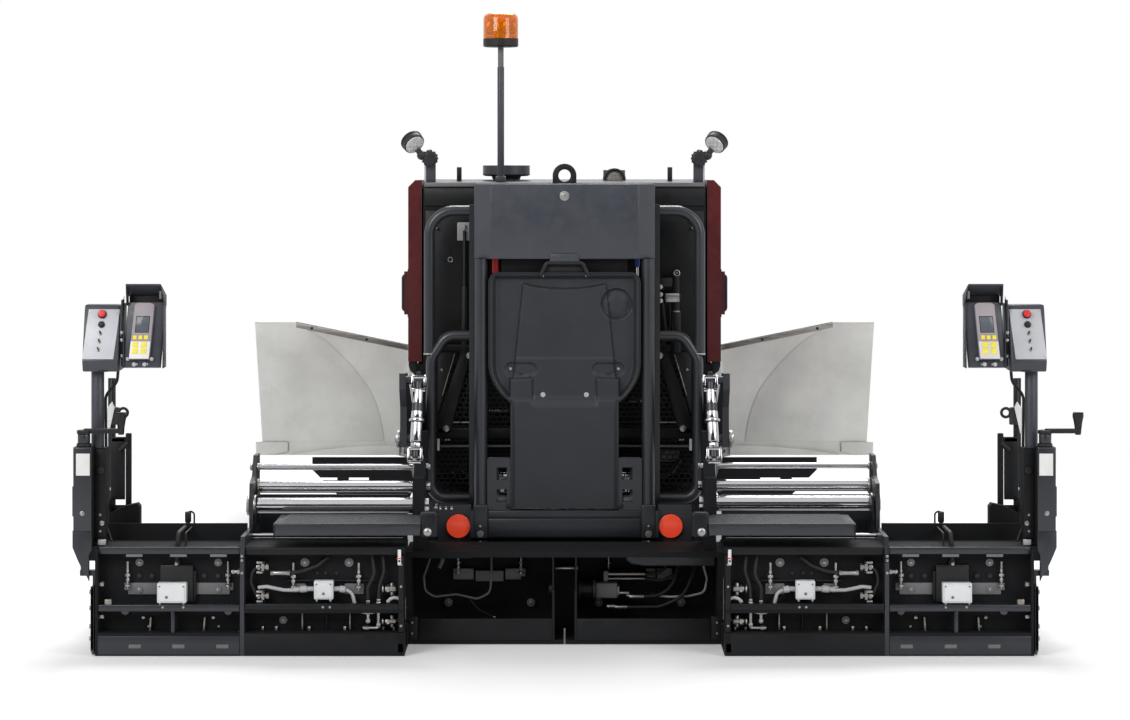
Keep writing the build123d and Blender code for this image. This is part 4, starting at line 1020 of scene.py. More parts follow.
class PAVER_OT_spindles(PaverOperator, bpy.types.Operator):
    """Screw spindles of the tow arms, with their forks, pins and lock nuts"""
    bl_idname = "paver.spindles"
    bl_label = "Tow arm spindles"

    def execute(self, context):
        for name, side in SIDES:
            top = Vector((side * 0.552, at(0.470), 0.963))
            foot = Vector((side * 0.562, at(0.395), 0.676))
            run = (top - foot).normalized()
            long = (top - foot).length
            parts = []
            for start, end, radius, width in ((0.12, 0.20, 0.0115, 0.001), (0.20, 0.46, 0.0225, 0.004),
                    (0.46, 0.50, 0.030, 0.003), (0.50, 0.60, 0.0235, 0.003), (0.60, 0.63, 0.0185, 0.001),
                    (0.63, 0.88, 0.0205, 0.004)):
                parts.append(rod(foot + run * long * start, foot + run * long * end, radius, "chrome", width,
                    32, 3))
            for end, look in ((top, 1), (foot, -1)):
                for cheek in (-1, 1):
                    near = end + Vector((cheek * 0.019, 0, 0))
                    parts.append(self.cheek(near, run * look, cheek))
                pin = end + Vector((0, 0, 0))
                parts.append(rod(pin - Vector((0.031, 0, 0)), pin + Vector((0.031, 0, 0)), 0.009, "zinc",
                    0.001))
                parts.append(ring(pin + Vector((0.028, 0, 0)), (1, 0, 0), 0.011, 0.002, "zinc"))
                yoke = end - run * look * 0.037
                parts.append(block((yoke.x - 0.026, yoke.x + 0.026), (yoke.y - 0.017, yoke.y + 0.017),
                    (yoke.z - 0.006, yoke.z + 0.006), "chrome", 0.002))
                parts.append(rod(end - run * look * 0.056, end - run * look * 0.040, 0.021, "chrome", 0.002,
                    6))
                tip = end + run * look * 0.014
                parts.append(block((tip.x - 0.022, tip.x + 0.022), (tip.y - 0.020, tip.y - 0.014),
                    (tip.z - 0.006, tip.z + 0.006), "chrome", 0.001))
                parts.append(block((end.x - 0.009, end.x + 0.009), (end.y - 0.014, end.y + 0.014),
                    (end.z - 0.020 + 0.012 * look, end.z + 0.020 + 0.012 * look), "soft_black", 0.003))
            lug = block((foot.x - 0.006, foot.x + 0.006), (foot.y - 0.020, foot.y + 0.020),
                (foot.z - 0.060, foot.z), "zinc", 0.002)
            bolt_end = rod(foot + Vector((side * -0.030, 0, -0.030)),
                foot + Vector((side * -0.052, 0, -0.030)), 0.011, "zinc", 0.002, 6)
            group("spindle_" + name, "screed", parts + [lug, bolt_end])
        return {"FINISHED"}

    def cheek(self, place, along, cheek):
        """One flat cheek of a fork."""
        x = place.x
        bevel = [(-0.034, -0.017), (0.012, -0.017), (0.019, -0.010), (0.019, 0.010), (0.012, 0.017),
            (-0.034, 0.017)]
        across = Vector((0, along.z, -along.y))
        outline = [place + along * a + across * b for a, b in bevel]
        outline = [Vector((x, point.y, point.z)) for point in outline]
        return sheet_piece(outline, (0.009 * cheek, 0, 0), "chrome", 0.0015)


class PAVER_OT_steps(PaverOperator, bpy.types.Operator):
    """Steps over the extensions: grip plate, folded fascia with its holes, tow arm heads"""
    bl_idname = "paver.steps"
    bl_label = "Steps"

    def execute(self, context):
        pitch = self.sizes.tread_pitch
        for name, side in SIDES:
            plate = sheet_piece(side_points(side, (0.522, 0.001, 0.4764), (1.052, 0.001, 0.4764),
                (1.022, 0.284, 0.4764), (0.522, 0.284, 0.4764)), (0, 0, 0.002), "tread", 0.0006)
            x_steps = int(0.500 / pitch)
            y_steps = int(0.270 / pitch)
            places = []
            for row in range(1, y_steps + 1):
                for column in range(1, x_steps + 1):
                    slip = pitch / 2 if row % 2 else 0.0
                    places.append((side * (0.524 + pitch * column - slip), at(0.004 + pitch * row), 0))
            grip = rod((0, 0, 0.4780), (0, 0, 0.4800), 0.0055, "tread", 0.0010, 10, 1)
            fascia = [side_block(side, (0.524, 1.050), (-0.0005, 0.0045), (0.4360, 0.4765), "frame", 0.001)]
            for place in (0.560, 0.775, 1.008):
                cut(fascia[0], (side * place, at(-0.01), 0.4635), (side * place, at(0.02), 0.4635), 0.0058)
            fascia.append(side_block(side, (1.0500, 1.0545), (-0.003, 0.006), (0.420, 0.476), "black", 0.001))
            fascia.append(side_block(side, (0.459, 0.523), (0.002, 0.030), (0.428, 0.520), "black", 0.012, 4))
            fascia.append(ball((side * 0.4965, at(0.002), 0.448), 0.016, "zinc", (1.0, 0.55, 1.0)))
            rims = copied(grip, places)
            group("step_tread_" + name, "screed", [plate] + rims)
            group("step_fascia_" + name, "screed", fascia)
            cap = [side_rod(side, (0.625, 0.640), at(0.528), 0.735, 0.034, "zinc", 0.003),
                side_rod(side, (0.638, 0.646), at(0.528), 0.735, 0.017, "zinc", 0.002, 6),
                side_rod(side, (0.625, 0.634), at(2.275), 0.330, 0.045, "zinc", 0.004)]
            group("tow_arm_caps_" + name, "screed", cap)
        return {"FINISHED"}


class ScreedDressing:
    """Fittings that the heated screed boxes share."""

    def across(self, side, low, high):
        """Limits on one side of the machine, the lower first, from distances out from its middle."""
        return tuple(sorted((side * low, side * high)))

    def tee(self, x, y, z, drop=0.055):
        """A threaded spindle with nuts and a washer, upright on a heater strip."""
        parts = [rod((x, y, z - drop), (x, y, z + 0.045), 0.0042, "zinc", 0.0005, 16)]
        for height, radius, tall, sides in ((-0.010, 0.011, 0.010, 6), (-0.028, 0.008, 0.012, 6),
                (0.006, 0.006, 0.008, 6), (-0.046, 0.012, 0.006, 24)):
            parts.append(rod((x, y, z + height), (x, y, z + height + tall), radius, "zinc", 0.001, sides))
        return parts

    def washer_stud(self, x, y, z, radius):
        """A large flat washer with a screw in the middle."""
        return [rod((x, y, z), (x, y - 0.005, z), radius, "grey", 0.0015, 36, 3),
            rod((x, y - 0.005, z), (x, y - 0.009, z), radius * 0.35, "zinc", 0.0008, 6)]

    def strip(self, x, z, y, look="grey"):
        """A heater strip with bevelled ends."""
        return block(x, (y - 0.006, y), z, look, 0.0015)

    def junction_box(self, x, y, z):
        """A pale plastic box with a lid, a boss and two feet."""
        parts = [block(x, (y - 0.050, y - 0.012), z, "box_white", 0.004, 3),
            block((x[0] + 0.002, x[1] - 0.002), (y - 0.012, y), (z[0] + 0.002, z[1] - 0.002), "box_white",
                0.003, 3),
            block((x[0] + 0.006, x[1] - 0.006), (y - 0.053, y - 0.049), (z[0] + 0.006, z[1] - 0.006),
                "box_white", 0.002, 3)]
        for place in (x[0] + 0.010, x[1] - 0.010):
            parts.append(rod((place, y - 0.045, z[0] - 0.008), (place, y - 0.045, z[0] + 0.002), 0.0045,
                "zinc", 0.001))
            parts.append(rod((place, y - 0.0525, z[1] - 0.012), (place, y - 0.0545, z[1] - 0.012), 0.003,
                "grey", 0.0005))
        parts.append(rod((x[0] + 0.035, y - 0.052, z[0] + 0.022), (x[0] + 0.035, y - 0.056, z[0] + 0.022),
            0.005, "grey", 0.001))
        return parts

    def ribbed(self, route, radius, look="conduit", bend=0.02):
        """A ribbed conduit along a route."""
        tube = pipe(route, radius, look, bend, 4)
        points = rounded(route, bend)
        rings = []
        for before, after in zip(points, points[1:]):
            gap = (after - before).length
            if gap > radius * 1.6:
                for step in range(int(gap / (radius * 1.6))):
                    place = before.lerp(after, (step + 0.5) * radius * 1.6 / gap)
                    rings.append(rod(place - (after - before).normalized() * radius * 0.22,
                        place + (after - before).normalized() * radius * 0.22, radius * 1.16, look, 0.0, 12))
        return [tube] + rings


class PAVER_OT_main_screed(ScreedDressing, PaverOperator, bpy.types.Operator):
    """Rear face of the main screed: folded plates, heater strips, motor, hoses, cables and studs"""
    bl_idname = "paver.main_screed"
    bl_label = "Main screed"

    def execute(self, context):
        wall = at(0.538)
        self.heaters(wall)
        self.motor(wall)
        self.hoses(wall)
        self.rear_plates(at(0.250))
        self.head_plates()
        return {"FINISHED"}

    def heaters(self, wall):
        """Heater strips with their studs and washers."""
        radius = self.sizes.stud_radius
        strips = []
        for left, right, foot, head in ((-0.423, -0.346, 0.203, 0.244), (-0.338, -0.232, 0.196, 0.236),
                (-0.225, -0.166, 0.203, 0.244), (-0.168, -0.149, 0.214, 0.244), (0.310, 0.345, 0.203, 0.244),
                (0.352, 0.408, 0.203, 0.244)):
            strips.append(self.strip((left, right), (foot, head), wall - 0.03))
        for x in (-0.405, -0.165, 0.167):
            strips += self.tee(x, wall - 0.035, 0.272, 0.04)
        group("heater_strips_main", "screed", strips)
        studs = []
        for x, z in ((-0.204, 0.312), (0.207, 0.312), (-0.442, 0.112), (-0.128, 0.112), (0.130, 0.112),
                (0.445, 0.112)):
            studs += self.washer_stud(x, wall - 0.012, z, radius)
        group("washers_main", "screed", studs)

    def motor(self, wall):
        """The vibrator's motor, its bearing and its couplings."""
        motor = [block((0.118, 0.200), (wall - 0.11, wall - 0.03), (0.142, 0.200), "grey", 0.006, 3),
            block((0.180, 0.207), (wall - 0.10, wall - 0.04), (0.150, 0.186), "worn", 0.004),
            rod((0.105, wall - 0.07, 0.171), (0.118, wall - 0.07, 0.171), 0.040, "slate", 0.004, 36),
            rod((-0.06, wall - 0.07, 0.171), (0.105, wall - 0.07, 0.171), 0.034, "black", 0.003, 36),
            rod((0.05, wall - 0.07, 0.171), (0.062, wall - 0.07, 0.171), 0.046, "black", 0.003, 36),
            block((0.150, 0.306), (wall - 0.09, wall - 0.04), (0.226, 0.236), "worn", 0.003),
            block((0.150, 0.306), (wall - 0.085, wall - 0.04), (0.209, 0.217), "worn", 0.003),
            block((0.147, 0.165), (wall - 0.10, wall - 0.04), (0.205, 0.244), "grey", 0.003)]
        for x in (0.070, 0.095):
            for z in (0.120, 0.171, 0.222):
                motor.append(rod((x - 0.06, wall - 0.105, z), (x - 0.06, wall - 0.098, z), 0.006, "zinc",
                    0.001, 6))
        for start, end, z, size in ((0.207, 0.245, 0.160, 0.007), (0.245, 0.300, 0.146, 0.009),
                (0.160, 0.190, 0.108, 0.010), (0.190, 0.238, 0.106, 0.0085), (0.235, 0.260, 0.150, 0.006)):
            motor.append(rod((start, wall - 0.09, z), (end, wall - 0.09, z), size, "zinc", 0.001, 24))
        group("vibrator_motor", "screed", motor)

    def hoses(self, wall):
        """Hydraulic hoses and cables in front of the wall."""
        hose = self.sizes.hose_radius * 0.75
        hoses = [pipe([(0.30, wall - 0.09, 0.146), (0.36, wall - 0.095, 0.150), (0.41, wall - 0.10, 0.19),
                (0.43, wall - 0.08, 0.26), (0.43, wall - 0.03, 0.33)], hose, "hose", 0.09),
            pipe([(0.238, wall - 0.09, 0.106), (0.36, wall - 0.10, 0.108), (0.45, wall - 0.11, 0.15),
                (0.49, wall - 0.09, 0.24), (0.49, wall - 0.03, 0.33)], hose, "hose", 0.10),
            pipe([(0.306, wall - 0.07, 0.230), (0.36, wall - 0.08, 0.232), (0.395, wall - 0.07, 0.27),
                (0.39, wall - 0.03, 0.33)], hose, "hose", 0.06),
            pipe([(0.306, wall - 0.07, 0.212), (0.37, wall - 0.09, 0.205), (0.44, wall - 0.08, 0.24),
                (0.45, wall - 0.03, 0.33)], hose, "hose", 0.08)]
        cables = [pipe([(-0.500, wall - 0.06, 0.318), (-0.512, wall - 0.07, 0.28),
                (-0.533, wall - 0.08, 0.22), (-0.528, wall - 0.09, 0.165), (-0.49, wall - 0.09, 0.145),
                (-0.41, wall - 0.09, 0.155), (-0.33, wall - 0.09, 0.137), (-0.282, wall - 0.09, 0.16),
                (-0.277, wall - 0.08, 0.22), (-0.277, wall - 0.04, 0.335)], 0.0042, "grey", 0.035),
            pipe([(-0.360, wall - 0.09, 0.140), (-0.33, wall - 0.09, 0.10), (-0.27, wall - 0.08, 0.068)],
                0.0025, "hose", 0.04),
            pipe([(0.525, wall - 0.05, 0.265), (0.540, wall - 0.06, 0.21), (0.530, wall - 0.08, 0.160),
                (0.47, wall - 0.09, 0.148), (0.40, wall - 0.09, 0.145), (0.33, wall - 0.08, 0.150)], 0.0042,
                "conduit", 0.03),
            pipe([(0.515, wall - 0.05, 0.268), (0.535, wall - 0.05, 0.262)], 0.008, "conduit", 0.01),
            rod((-0.27, wall - 0.08, 0.068), (-0.262, wall - 0.08, 0.064), 0.004, "zinc", 0.001),
            pipe([(-0.47, wall - 0.05, 0.32), (-0.462, wall - 0.06, 0.28), (-0.475, wall - 0.06, 0.25)],
                0.008, "grey", 0.03),
            pipe([(-0.485, wall - 0.05, 0.33), (-0.492, wall - 0.05, 0.29)], 0.013, "grey", 0.02)]
        group("hoses_main", "screed", hoses)
        group("cables_main", "screed", cables)

    def rear_plates(self, rear):
        """Black plates along the foot, on both sides of the crown's joint."""
        plates = []
        for side in (-1, 1):
            plates.append(block((side * 0.046, side * 0.540), (rear - 0.004, rear), (0.014, 0.090), "black",
                0.002))
            plates.append(block((side * 0.046, side * 0.540), (rear - 0.002, rear + 0.016), (0.086, 0.094),
                "black", 0.003, 3))
            plates.append(block((side * 0.545, side * 0.588), (rear - 0.003, rear + 0.003), (0.016, 0.102),
                "black", 0.002))
            plates.append(block((side * 0.037, side * 0.046), (rear - 0.002, rear + 0.020), (0.014, 0.200),
                "black", 0.001))
            for z in (0.040, 0.080):
                plates.append(stud((side * 0.566, rear - 0.003, z), REARWARD, 0.004, "zinc"))
        plates.append(block((-0.035, 0.048), (at(0.35), at(0.38)), (0.262, 0.276), "black", 0.004))
        plates.append(rod((-0.035, at(0.345), 0.269), (0.048, at(0.345), 0.269), 0.006, "zinc", 0.001))
        group("screed_rear_plates", "screed", plates)

    def head_plates(self):
        """The folded plates under the screed's head."""
        beam = [sheet_piece([(0.231, at(0.40), 0.292), (0.231, at(0.40), 0.321), (0.568, at(0.40), 0.321),
                (0.568, at(0.40), 0.268), (0.300, at(0.40), 0.268), (0.250, at(0.40), 0.276)], (0, 0.030, 0),
                "slate", 0.006, (), 3),
            block((-0.568, -0.348), (at(0.400), at(0.430)), (0.296, 0.321), "black", 0.004)]
        for x in (-0.50, -0.455, -0.41, 0.26, 0.52):
            beam.append(rod((x, at(0.400), 0.308), (x, at(0.394), 0.308), 0.004, "zinc", 0.0008))
        group("screed_head_plates", "screed", beam)


class PAVER_OT_extensions(ScreedDressing, PaverOperator, bpy.types.Operator):
    """Rear face of the sliding extensions: strips, junction boxes, conduits, pipes, valves and scales"""
    bl_idname = "paver.extensions"
    bl_label = "Extensions"

    def execute(self, context):
        for name, side in SIDES:
            for make in (self.heaters, self.conduits, self.pipes, self.hoses, self.rails, self.ribs,
                    self.width_scale, self.guide_ends):
                make(name, side, "extension_" + name)
        return {"FINISHED"}

    def heaters(self, name, side, body):
        """Heater strips with their studs and washers, and the junction box."""
        wall = HEATER_WALL
        strips = [self.strip((side * 0.732, side * 0.801), (0.214, 0.252), wall),
            self.strip((side * 0.944, side * 0.994), (0.220, 0.252), wall),
            block((side * 0.690, side * 1.010), (wall - 0.012, wall), (0.262, 0.266), "soft_black", 0.001)]
        for x in (0.749, 0.987):
            strips += self.tee(side * x, wall - 0.018, 0.285)
        for x, z, radius in ((0.785, 0.329, 0.0165), (0.946, 0.329, 0.0165), (1.025, 0.119, 0.0145)):
            strips += self.washer_stud(side * x, wall, z, radius)
        for x in (0.830, 0.870, 0.900):
            strips.append(side_rod(side, x, (wall, wall - 0.006), 0.290, 0.006, "soft_black", 0.001))
        group("heater_strips_" + name, body, strips)
        box = self.junction_box(self.across(side, 0.839, 0.909), wall - 0.005, (0.201, 0.269))
        group("junction_box_" + name, body, box)

    def conduits(self, name, side, body):
        """Ribbed conduits from the box to both ends."""
        y = PIPE_Y
        conduit = self.ribbed(in_plane(side, y, (1.114, 0.241), (1.083, 0.245), (1.02, 0.232),
            (0.985, 0.232)), 0.0065)
        conduit += [side_rod(side, (0.985, 0.962), y, (0.233, 0.235), 0.010, "conduit", 0.002, 6),
            side_rod(side, (0.962, 0.935), y, (0.235, 0.237), 0.0125, "conduit", 0.003),
            side_rod(side, (0.935, 0.909), y, 0.237, 0.009, "conduit", 0.001)]
        conduit += [side_rod(side, (0.839, 0.818), y, 0.237, 0.009, "conduit", 0.001),
            side_rod(side, (0.818, 0.796), y, (0.237, 0.234), 0.0125, "conduit", 0.003)]
        conduit += self.ribbed(mirrored(side, (0.796, y, 0.234), (0.772, y, 0.222), (0.762, y, 0.180),
            (0.748, y, 0.157), (0.715, y - 0.01, 0.150), (0.678, y - 0.01, 0.160)), 0.0062, "conduit", 0.03)
        conduit += self.ribbed(mirrored(side, (0.643, y - 0.012, 0.190), (0.632, y - 0.014, 0.203),
            (0.614, y - 0.014, 0.208), (0.596, y - 0.012, 0.200), (0.586, y - 0.008, 0.186)), 0.0062,
            "conduit", 0.02)
        group("conduits_" + name, body, conduit)

    def pipes(self, name, side, body):
        """Gas pipes, valves and unions."""
        y = PIPE_Y
        pipes = []
        for x, top, foot in ((0.714, 0.195, 0.112), (0.676, 0.200, 0.098)):
            pipes.append(side_rod(side, x, y, (foot, top - 0.02), 0.0065, "zinc", 0.001, 24))
            pipes.append(side_rod(side, x, y, (top - 0.028, top - 0.010), 0.010, "zinc", 0.001, 6))
            pipes.append(side_rod(side, x, y, (top - 0.010, top), 0.008, "zinc", 0.001, 6))
            pipes.append(side_rod(side, x, y, (foot + 0.002, foot + 0.014), 0.0095, "zinc", 0.001, 6))
        pipes.append(pipe(in_plane(side, y, (0.676, 0.110), (0.676, 0.094), (0.733, 0.094)), 0.0072, "zinc",
            0.012))
        pipes.append(side_rod(side, (0.712, 0.728), y, 0.094, 0.010, "zinc", 0.001, 6))
        for z in (0.236, 0.119):
            pipes.append(side_rod(side, (0.652, 0.612), y, z, 0.012, "worn", 0.002, 24))
            pipes.append(side_rod(side, (0.646, 0.636), y, z, 0.017, "zinc", 0.001, 6))
            pipes.append(side_rod(side, 0.626, y, (z - 0.022, z + 0.022), 0.008, "zinc", 0.001, 6))
            pipes.append(ring((side * 0.660, y, z), (1, 0, 0), 0.012, 0.0035, "zinc"))
        for z in (0.316, 0.210):
            for place, radius in ((1.115, 0.016), (1.100, 0.022), (1.084, 0.014)):
                pipes.append(side_rod(side, (place, place - 0.010), y, z, radius, "worn", 0.0015, 6))
            pipes.append(side_rod(side, (1.12, 1.074), y, z, 0.009, "zinc", 0.001))
            for rise in (-0.018, 0.018):
                pipes.append(side_rod(side, (1.118, 1.096), y - 0.012, z + rise, 0.0055, "zinc", 0.001, 6))
        pipes += [side_rod(side, (1.062, 1.006), y, 0.294, 0.0085, "zinc", 0.001, 24),
            side_rod(side, (1.068, 1.058), y, 0.294, 0.011, "worn", 0.001, 6),
            side_rod(side, (1.010, 0.998), y, 0.294, 0.011, "worn", 0.001, 6)]
        group("pipes_" + name, body, pipes)

    def hoses(self, name, side, body):
        """Hoses that rise from the pipes."""
        y = PIPE_Y
        hoses = [pipe(mirrored(side, (1.115, y, 0.316), (1.135, y - 0.006, 0.30), (1.140, y - 0.008, 0.26),
                (1.118, y, 0.21)), 0.006, "hose", 0.03),
            pipe(mirrored(side, (0.998, y, 0.294), (0.95, y + 0.01, 0.300), (0.90, y + 0.014, 0.318),
                (0.86, y + 0.018, 0.35)), 0.0065, "hose", 0.05),
            pipe(mirrored(side, (0.714, y, 0.195), (0.716, y, 0.24), (0.690, y, 0.29),
                (0.700, y + 0.01, 0.355)), 0.0062, "hose", 0.05),
            pipe(mirrored(side, (0.676, y, 0.200), (0.672, y, 0.25), (0.655, y, 0.30),
                (0.660, y + 0.01, 0.355)), 0.0062, "hose", 0.05),
            pipe(in_plane(side, y, (0.612, 0.119), (0.598, 0.13), (0.594, 0.17)), 0.006, "hose", 0.02)]
        group("hoses_" + name, body, hoses)

    def rails(self, name, side, body):
        """Flanges along the foot, the middle and the top, and the inner upright."""
        rail = [side_block(side, (0.602, 1.158), (0.001, 0.030), (0.164, 0.187), "black", 0.003),
            side_block(side, (0.582, 0.602), (0.002, 0.060), (0.084, 0.362), "black", 0.004)]
        for x, z in ((0.875, 0.176), (0.850, 0.176), (0.592, 0.250), (0.592, 0.108), (0.592, 0.330)):
            rail.append(stud((side * x, at(0.0015), z), REARWARD, 0.0045, "zinc"))
        top = side_block(side, (0.600, 1.158), (0.018, 0.030), (0.362, 0.388), "black", 0.004, 3)
        foot = [side_block(side, (0.602, 1.160), (-0.0005, 0.004), (0.004, 0.078), "black", 0.002),
            side_block(side, (0.582, 0.660), (0.0, 0.008), (0.010, 0.046), "black", 0.003)]
        group("extension_rails_" + name, body, rail + [top] + foot)

    def ribs(self, name, side, body):
        """Upright ribs and screws low on the wall."""
        wall = HEATER_WALL
        low = []
        for x in (0.781, 0.954):
            low.append(block((side * x - 0.0025, side * x + 0.0025), (wall - 0.020, wall), (0.086, 0.146),
                "worn", 0.001))
        for x in (0.62, 0.66, 0.80, 0.93, 1.05, 1.10):
            low.append(side_rod(side, x, wall - 0.012, (0.083, 0.098), 0.006, "zinc", 0.001, 6))
        low.append(block((side * 0.865, side * 0.868), (wall - 0.010, wall), (0.086, 0.155), "soft_black",
            0.0005))
        group("extension_ribs_" + name, body, low)

    def width_scale(self, name, side, body):
        """The scale that shows how far the extension is out, with its pointer."""
        scale = [side_block(side, (0.592, 0.604), (-0.0002, 0.004), (0.328, 0.384), "label", 0.001),
            side_block(side, (0.591, 0.608), (-0.0008, 0.003), (0.3505, 0.3545), "red", 0.0005),
            side_rod(side, 0.598, (at(0.002), at(-0.002)), 0.343, 0.004, "soft_black", 0.0008)]
        for step in range(6):
            scale.append(side_block(side, (0.5975, 0.6025), (-0.0006, 0.002),
                (0.333 + 0.009 * step, 0.3338 + 0.009 * step), "soft_black", 0.0))
        group("width_scale_" + name, body, scale)

    def guide_ends(self, name, side, body):
        """Nuts and collars at the ends of the guide tubes."""
        arm = []
        for height, stations, radius in ((0.639, (0.420, 0.475), 0.011), (0.564, (0.420, 0.475), 0.0225),
                (0.506, (0.320, 0.392), 0.030)):
            station = stations[side > 0]
            arm.append(side_rod(side, (1.176, 1.186), at(station), height, radius * 1.25, "zinc", 0.002, 6))
            arm.append(side_rod(side, (1.160, 1.150), at(station), height, radius * 1.35, "worn", 0.003, 32))
        arm.append(sheet_piece(side_points(side, (1.148, 0.290, 0.435), (1.158, 0.290, 0.435),
            (1.150, 0.290, 0.545), (1.144, 0.290, 0.545)), (0, 0.10, 0), "black", 0.002))
        for z in (0.36, 0.30, 0.345):
            arm.append(stud((side * 1.168, at(-0.0005), z), REARWARD, 0.005, "zinc"))
        group("guide_ends_" + name, body, arm)


class PAVER_OT_bolt_ons(ScreedDressing, PaverOperator, bpy.types.Operator):
    """Bolt-on extensions: strips, boxes, carrier blocks, lifting hooks, flanges, ribs, joint bolts and tabs
    """
    bl_idname = "paver.bolt_ons"
    bl_label = "Bolt-on extensions"

    def execute(self, context):
        for name, side in SIDES:
            for make in (self.heaters, self.carrier, self.lifting_hook, self.rails, self.ribs, self.tabs):
                make(name, side, "extension_" + name)
        return {"FINISHED"}

    def heaters(self, name, side, body):
        """Heater strips with their studs and washers."""
        wall = HEATER_WALL
        strips = []
        for start, end, tip in ((1.484, 1.590, 1.604), (1.206 + 0.014, 1.343, 1.206)):
            outline = in_plane(side, wall - 0.006, (start, 0.213), (end, 0.213), (end, 0.255), (start, 0.255))
            strips.append(sheet_piece(outline, (0, 0.006, 0), "grey", 0.001))
            strips.append(block(self.across(side, tip, tip + (0.016 if tip < 1.5 else -0.016)),
                (wall - 0.006, wall), (0.228, 0.255), "grey", 0.002))
        for x in (1.590, 1.224):
            strips += self.tee(side * x, wall - 0.018, 0.290)
        for x, z in ((1.549, 0.329), (1.262, 0.329)):
            strips += self.washer_stud(side * x, wall, z, 0.0145)
        for x in (1.549, 1.262):
            strips += self.washer_stud(side * x, wall - 0.006, 0.232, 0.0135)
        for x in (1.549, 1.503, 1.312, 1.262):
            strips.append(side_rod(side, x, (wall, wall - 0.008), 0.280, 0.0095, "soft_black", 0.002, 28))
        group("heater_strips_outer_" + name, body, strips)

    def carrier(self, name, side, body):
        """The block that carries the outer junction box."""
        wall = HEATER_WALL
        carrier = [block((side * 1.351, side * 1.471), (wall - 0.026, wall), (0.186, 0.318), "soft_black",
                0.004, 3),
            block((side * 1.351, side * 1.470), (wall - 0.020, wall), (0.288, 0.320), "frame", 0.002),
            block((side * 1.340, side * 1.351), (wall - 0.020, wall), (0.190, 0.300), "black", 0.002)]
        carrier += self.junction_box(self.across(side, 1.371, 1.477), wall - 0.012, (0.189, 0.262))
        group("junction_box_outer_" + name, body, carrier)

    def lifting_hook(self, name, side, body):
        """A bent hook over the top of the wall, and its lanyard."""
        wall = HEATER_WALL
        over, beyond = 0.436, at(0.303)
        hook = [pipe(mirrored(side, (1.412, wall - 0.012, 0.326), (1.408, wall - 0.012, 0.40),
                (1.406, wall - 0.008, over), (1.405, beyond, over), (1.404, beyond, 0.478)), 0.0085,
                "soft_black", 0.016),
            block((side * 1.400, side * 1.420), (wall - 0.022, wall + 0.002), (0.320, 0.338), "soft_black",
                0.003),
            side_rod(side, 1.404, beyond, (0.446, 0.485), 0.012, "soft_black", 0.003),
            pipe(mirrored(side, (1.404, beyond, 0.483), (1.392, beyond, 0.487), (1.381, beyond, 0.478),
                (1.381, beyond, over), (1.380, wall - 0.004, over), (1.380, wall - 0.002, 0.40),
                (1.376, wall, 0.345)), 0.0035, "soft_black", 0.010),
            side_rod(side, 1.380, wall, (0.395, 0.372), 0.006, "soft_black", 0.001),
            stud((side * 1.412, wall - 0.024, 0.326), REARWARD, 0.006, "zinc")]
        group("lifting_hook_" + name, body, hook)

    def rails(self, name, side, body):
        """Flanges along the foot, the middle and the top."""
        rail = [side_block(side, (1.177, 1.688), (0.001, 0.030), (0.160, 0.184), "frame", 0.003),
            side_block(side, (1.412, 1.426), (0.004, 0.050), (0.066, 0.160), "frame", 0.003),
            side_block(side, (1.177, 1.688), (0.018, 0.026), (0.366, 0.391), "frame", 0.002),
            side_block(side, (1.177, 1.690), (-0.0005, 0.004), (0.004, 0.072), "frame", 0.002),
            side_block(side, (1.640, 1.666), (0.002, 0.020), (0.184, 0.204), "worn", 0.004)]
        for x in (1.380, 1.455):
            rail.append(side_rod(side, x, (at(0.001), at(-0.002)), 0.176, 0.0045, "zinc", 0.0008))
        for x in (1.578 - 0.022, 1.420 - 0.022, 1.261 - 0.022):
            rail.append(side_block(side, (x - 0.022, x + 0.022), (-0.0012, 0.0010), (0.027, 0.041), "grey",
                0.0010))
        group("bolt_on_rails_" + name, body, rail)

    def ribs(self, name, side, body):
        """Ribs and screws low on the wall, and the joint bolts at both ends."""
        wall = HEATER_WALL
        ribs = []
        for x, lean in ((1.506, 0.004), (1.310, 0.004)):
            ribs.append(sheet_piece(in_plane(side, wall - 0.022, (x, 0.074), (x + 0.006, 0.074),
                (x + 0.006 - lean, 0.132), (x - lean, 0.132)), (0, 0.022, 0), "worn", 0.0008))
        for x in (1.280, 1.535):
            ribs.append(side_rod(side, x, (wall, wall - 0.006), 0.128, 0.006, "zinc", 0.001))
            ribs.append(side_rod(side, x - 0.02, (wall, wall - 0.006), 0.095, 0.0045, "zinc", 0.001))
        for x in (1.600, 1.225):
            ribs.append(side_rod(side, x, (wall - 0.004, wall - 0.012), 0.152, 0.014, "grey", 0.002, 24))
        for z, run in ((0.300, 0.032), (0.073, 0.030)):
            ribs.append(side_rod(side, (1.177, 1.177 + run), at(0.030), z, 0.0075, "zinc", 0.001))
            ribs.append(side_rod(side, (1.177, 1.187), at(0.030), z, 0.0125, "zinc", 0.0015, 6))
            ribs.append(side_rod(side, (1.177 + run - 0.011, 1.177 + run - 0.003), at(0.030), z, 0.011,
                "zinc", 0.0015, 6))
        for z in (0.255, 0.138):
            ribs.append(side_rod(side, (1.690, 1.672), at(0.030), z, 0.0115, "zinc", 0.0015, 6))
        group("bolt_on_ribs_" + name, body, ribs)

    def tabs(self, name, side, body):
        """Small tabs under the top flange."""
        tabs = []
        for x in (1.255, 1.400, 1.560):
            tabs.append(side_block(side, (x - 0.030, x + 0.030), (0.014, 0.019), (0.356, 0.366), "grey",
                0.001))
        group("wall_tabs_" + name, body, tabs)


